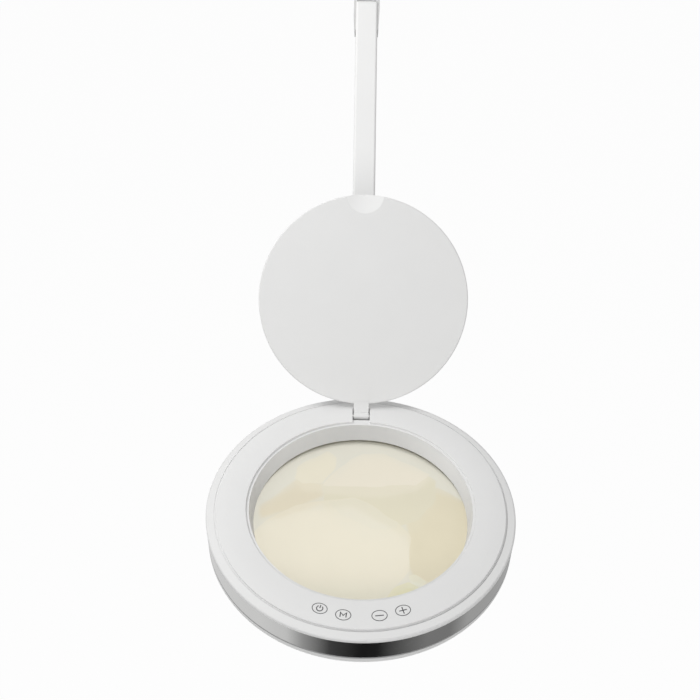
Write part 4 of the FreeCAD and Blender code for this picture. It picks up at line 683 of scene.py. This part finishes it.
# Lengths in metres. The lamps and the camera are placed from the middle of the head. The focal length and
# the picture's width are in pixels of the photograph, the sensor's width in millimetres.
SHOWING_RAYS = ("Is Camera Ray", "Is Glossy Ray", "Is Transmission Ray")
FLOOR_SIZE, FLOOR_COLOUR, FLOOR_ROUGHNESS, FLOOR_WHITENESS = 40.0, (0.9, 0.9, 0.9, 1.0), 0.9, 0.96
WORLD_LIGHT, WORLD_SEEN = 0.448, 1.0
KEY_AT, KEY_SIZE, KEY_POWER = Vector((-0.5, 0.25, 0.75)), 0.6, 3.95
FRONT_AT, FRONT_SIZE, FRONT_POWER = Vector((0.0, -1.9, 1.2)), 1.6, 15.2
CAMERA_AT, CAMERA_NEAREST = Vector((-0.013, -0.5046, 0.605)), 0.01
CAMERA_DOWN, CAMERA_TURN, CAMERA_ROLL = math.radians(41.3), math.radians(-0.23), math.radians(1.2)
SENSOR_WIDTH, FOCAL_LENGTH, PICTURE_WIDTH = 36.0, 1000.0, 700.0

# Cards that the chrome band mirrors: their edges as (radius, height), and their greys by the angle round
# the head from the front, as (degrees, grey)
NEAR_CARD = [(0.56, 0.0), (1.6, 0.0)]
NEAR_GREYS = [(-180, 0.65), (-75, 0.68), (-52, 0.62), (-40, 0.33), (-20, 0.055), (2, 0.010), (14, 0.014),
              (36, 0.13), (50, 0.20), (69, 0.20), (85, 0.37), (180, 0.41)]
FAR_CARD = [(1.6, 0.0), (9.0, 0.0), (9.0, 3.6)]
FAR_GREYS = [(-180, 0.80), (-150, 0.25), (-115, 0.85), (-70, 0.80), (-45, 0.20), (-15, 0.04), (20, 0.05),
             (55, 0.30), (80, 0.85), (120, 0.80), (150, 0.15), (180, 0.80)]
CARD_LIFT, CARD_STEPS = 0.002, 96


def seen_directly(tree):
    """1 for rays that show a thing, straight, mirrored or through glass, and 0 for those that light it."""
    path = node(tree, "ShaderNodeLightPath")
    seen = path.outputs[SHOWING_RAYS[0]]
    for ray in SHOWING_RAYS[1:]:
        seen = number(tree, "MAXIMUM", seen, path.outputs[ray])
    return seen


def mix_shaders(tree, factor, first, second):
    mixer = node(tree, "ShaderNodeMixShader")
    feed(tree, mixer.inputs, (factor, first, second))
    return mixer.outputs[0]


def make_floor():
    """A pale floor that looks white, seen through from below so that the underside can be looked at."""
    bpy.ops.mesh.primitive_plane_add(size=FLOOR_SIZE, location=(0, 0, FLOOR_HEIGHT))
    floor = bpy.context.object
    floor.name = "floor"
    made, tree, shader = new_material("floor_white")
    shader.inputs["Base Color"].default_value = FLOOR_COLOUR
    shader.inputs["Roughness"].default_value = FLOOR_ROUGHNESS
    glow = node(tree, "ShaderNodeEmission").outputs[0]
    whiteness = times(tree, seen_directly(tree), FLOOR_WHITENESS)
    white = mix_shaders(tree, whiteness, shader.outputs[0], glow)
    below = node(tree, "ShaderNodeNewGeometry").outputs["Backfacing"]
    clear = node(tree, "ShaderNodeBsdfTransparent").outputs[0]
    surface = tree.nodes["Material Output"].inputs["Surface"]
    tree.links.new(mix_shaders(tree, below, white, clear), surface)
    floor.data.materials.append(made)


def card_material(name, shades):
    """A plain glow whose grey goes with the angle round the card."""
    made, tree, shader = new_material(name)
    tree.nodes.remove(shader)
    place = node(tree, "ShaderNodeSeparateXYZ")
    tree.links.new(shaded_place(tree), place.inputs[0])
    angle = number(tree, "ARCTAN2", place.outputs["X"], times(tree, place.outputs["Y"], -1.0))
    greys = node(tree, "ShaderNodeValToRGB")
    stops = greys.color_ramp.elements
    for index, (degrees, grey) in enumerate(shades):
        position = (degrees + 180) / 360
        stop = stops[index] if index < 2 else stops.new(position)
        stop.position = position
        stop.color = (grey, grey, grey, 1.0)
    tree.links.new(spread(tree, angle, 0.0, 1.0, -math.pi, math.pi), greys.inputs[0])
    glow = node(tree, "ShaderNodeEmission")
    tree.links.new(greys.outputs[0], glow.inputs["Color"])
    tree.links.new(glow.outputs[0], tree.nodes["Material Output"].inputs["Surface"])
    return made


def make_card(name, edges, shades):
    """A card round the head, which only mirrors show, as photographers place for chrome."""
    mesh = bpy.data.meshes.new(name)
    made = bmesh.new()
    angles = [math.tau * step / CARD_STEPS for step in range(CARD_STEPS)]
    rows = [[made.verts.new((radius * math.cos(a), radius * math.sin(a), height)) for a in angles]
            for radius, height in edges]
    for inner, outer in zip(rows, rows[1:]):
        for step in range(CARD_STEPS):
            following = (step + 1) % CARD_STEPS
            made.faces.new((inner[step], outer[step], outer[following], inner[following]))
    made.to_mesh(mesh)
    made.free()
    mesh.materials.append(card_material(name + "_grey", shades))
    card = bpy.data.objects.new(name, mesh)
    bpy.context.scene.collection.objects.link(card)
    card.location = (0, HEAD.y, FLOOR_HEIGHT + CARD_LIFT)
    for ray in ("camera", "diffuse", "transmission", "volume_scatter", "shadow"):
        setattr(card, "visible_" + ray, False)


def background(tree, strength):
    made = node(tree, "ShaderNodeBackground")
    made.inputs["Color"].default_value = (1.0, 1.0, 1.0, 1.0)
    made.inputs["Strength"].default_value = strength
    return made.outputs[0]


def make_world():
    """A soft white world that looks fully white."""
    world = bpy.data.worlds.new("studio")
    world.use_nodes = True
    tree = world.node_tree
    tree.nodes.clear()
    light, white = background(tree, WORLD_LIGHT), background(tree, WORLD_SEEN)
    surface = node(tree, "ShaderNodeOutputWorld").inputs["Surface"]
    tree.links.new(mix_shaders(tree, seen_directly(tree), light, white), surface)
    bpy.context.scene.world = world


def area_lamp(name, offset, size, power, mirrored=True):
    """A round lamp beside the head that shines on it."""
    data = bpy.data.lights.new(name, "AREA")
    data.shape = "DISK"
    data.size = size
    data.energy = power
    lamp = bpy.data.objects.new(name, data)
    lamp.location = HEAD + offset
    lamp.rotation_mode = "QUATERNION"
    lamp.rotation_quaternion = (-offset).to_track_quat("-Z", "Y")
    lamp.visible_glossy = mirrored
    lamp.visible_transmission = False
    bpy.context.scene.collection.objects.link(lamp)


def make_camera():
    """Camera at the place and angle of the photograph."""
    down, turn, roll = CAMERA_DOWN, CAMERA_TURN, CAMERA_ROLL
    ahead = Vector((-math.sin(turn) * math.cos(down), math.cos(turn) * math.cos(down), -math.sin(down)))
    right = Vector((math.cos(turn), math.sin(turn), 0))
    up = right.cross(ahead)
    tilted_right = math.cos(roll) * right + math.sin(roll) * up
    tilted_up = -math.sin(roll) * right + math.cos(roll) * up
    data = bpy.data.cameras.new("camera")
    data.sensor_width = SENSOR_WIDTH
    data.lens = SENSOR_WIDTH * FOCAL_LENGTH / PICTURE_WIDTH
    data.clip_start = CAMERA_NEAREST
    camera = bpy.data.objects.new("camera", data)
    facing = Matrix((tilted_right, tilted_up, -ahead)).transposed()
    camera.matrix_world = Matrix.Translation(HEAD + CAMERA_AT) @ facing.to_4x4()
    bpy.context.scene.collection.objects.link(camera)
    bpy.context.scene.camera = camera


make_floor()
make_card("near_card", NEAR_CARD, NEAR_GREYS)
make_card("far_card", FAR_CARD, FAR_GREYS)
make_world()
area_lamp("key", KEY_AT, KEY_SIZE, KEY_POWER, mirrored=False)
area_lamp("front", FRONT_AT, FRONT_SIZE, FRONT_POWER)
make_camera()
bpy.context.scene.view_settings.view_transform = "Standard"

bpy.context.view_layer.update()
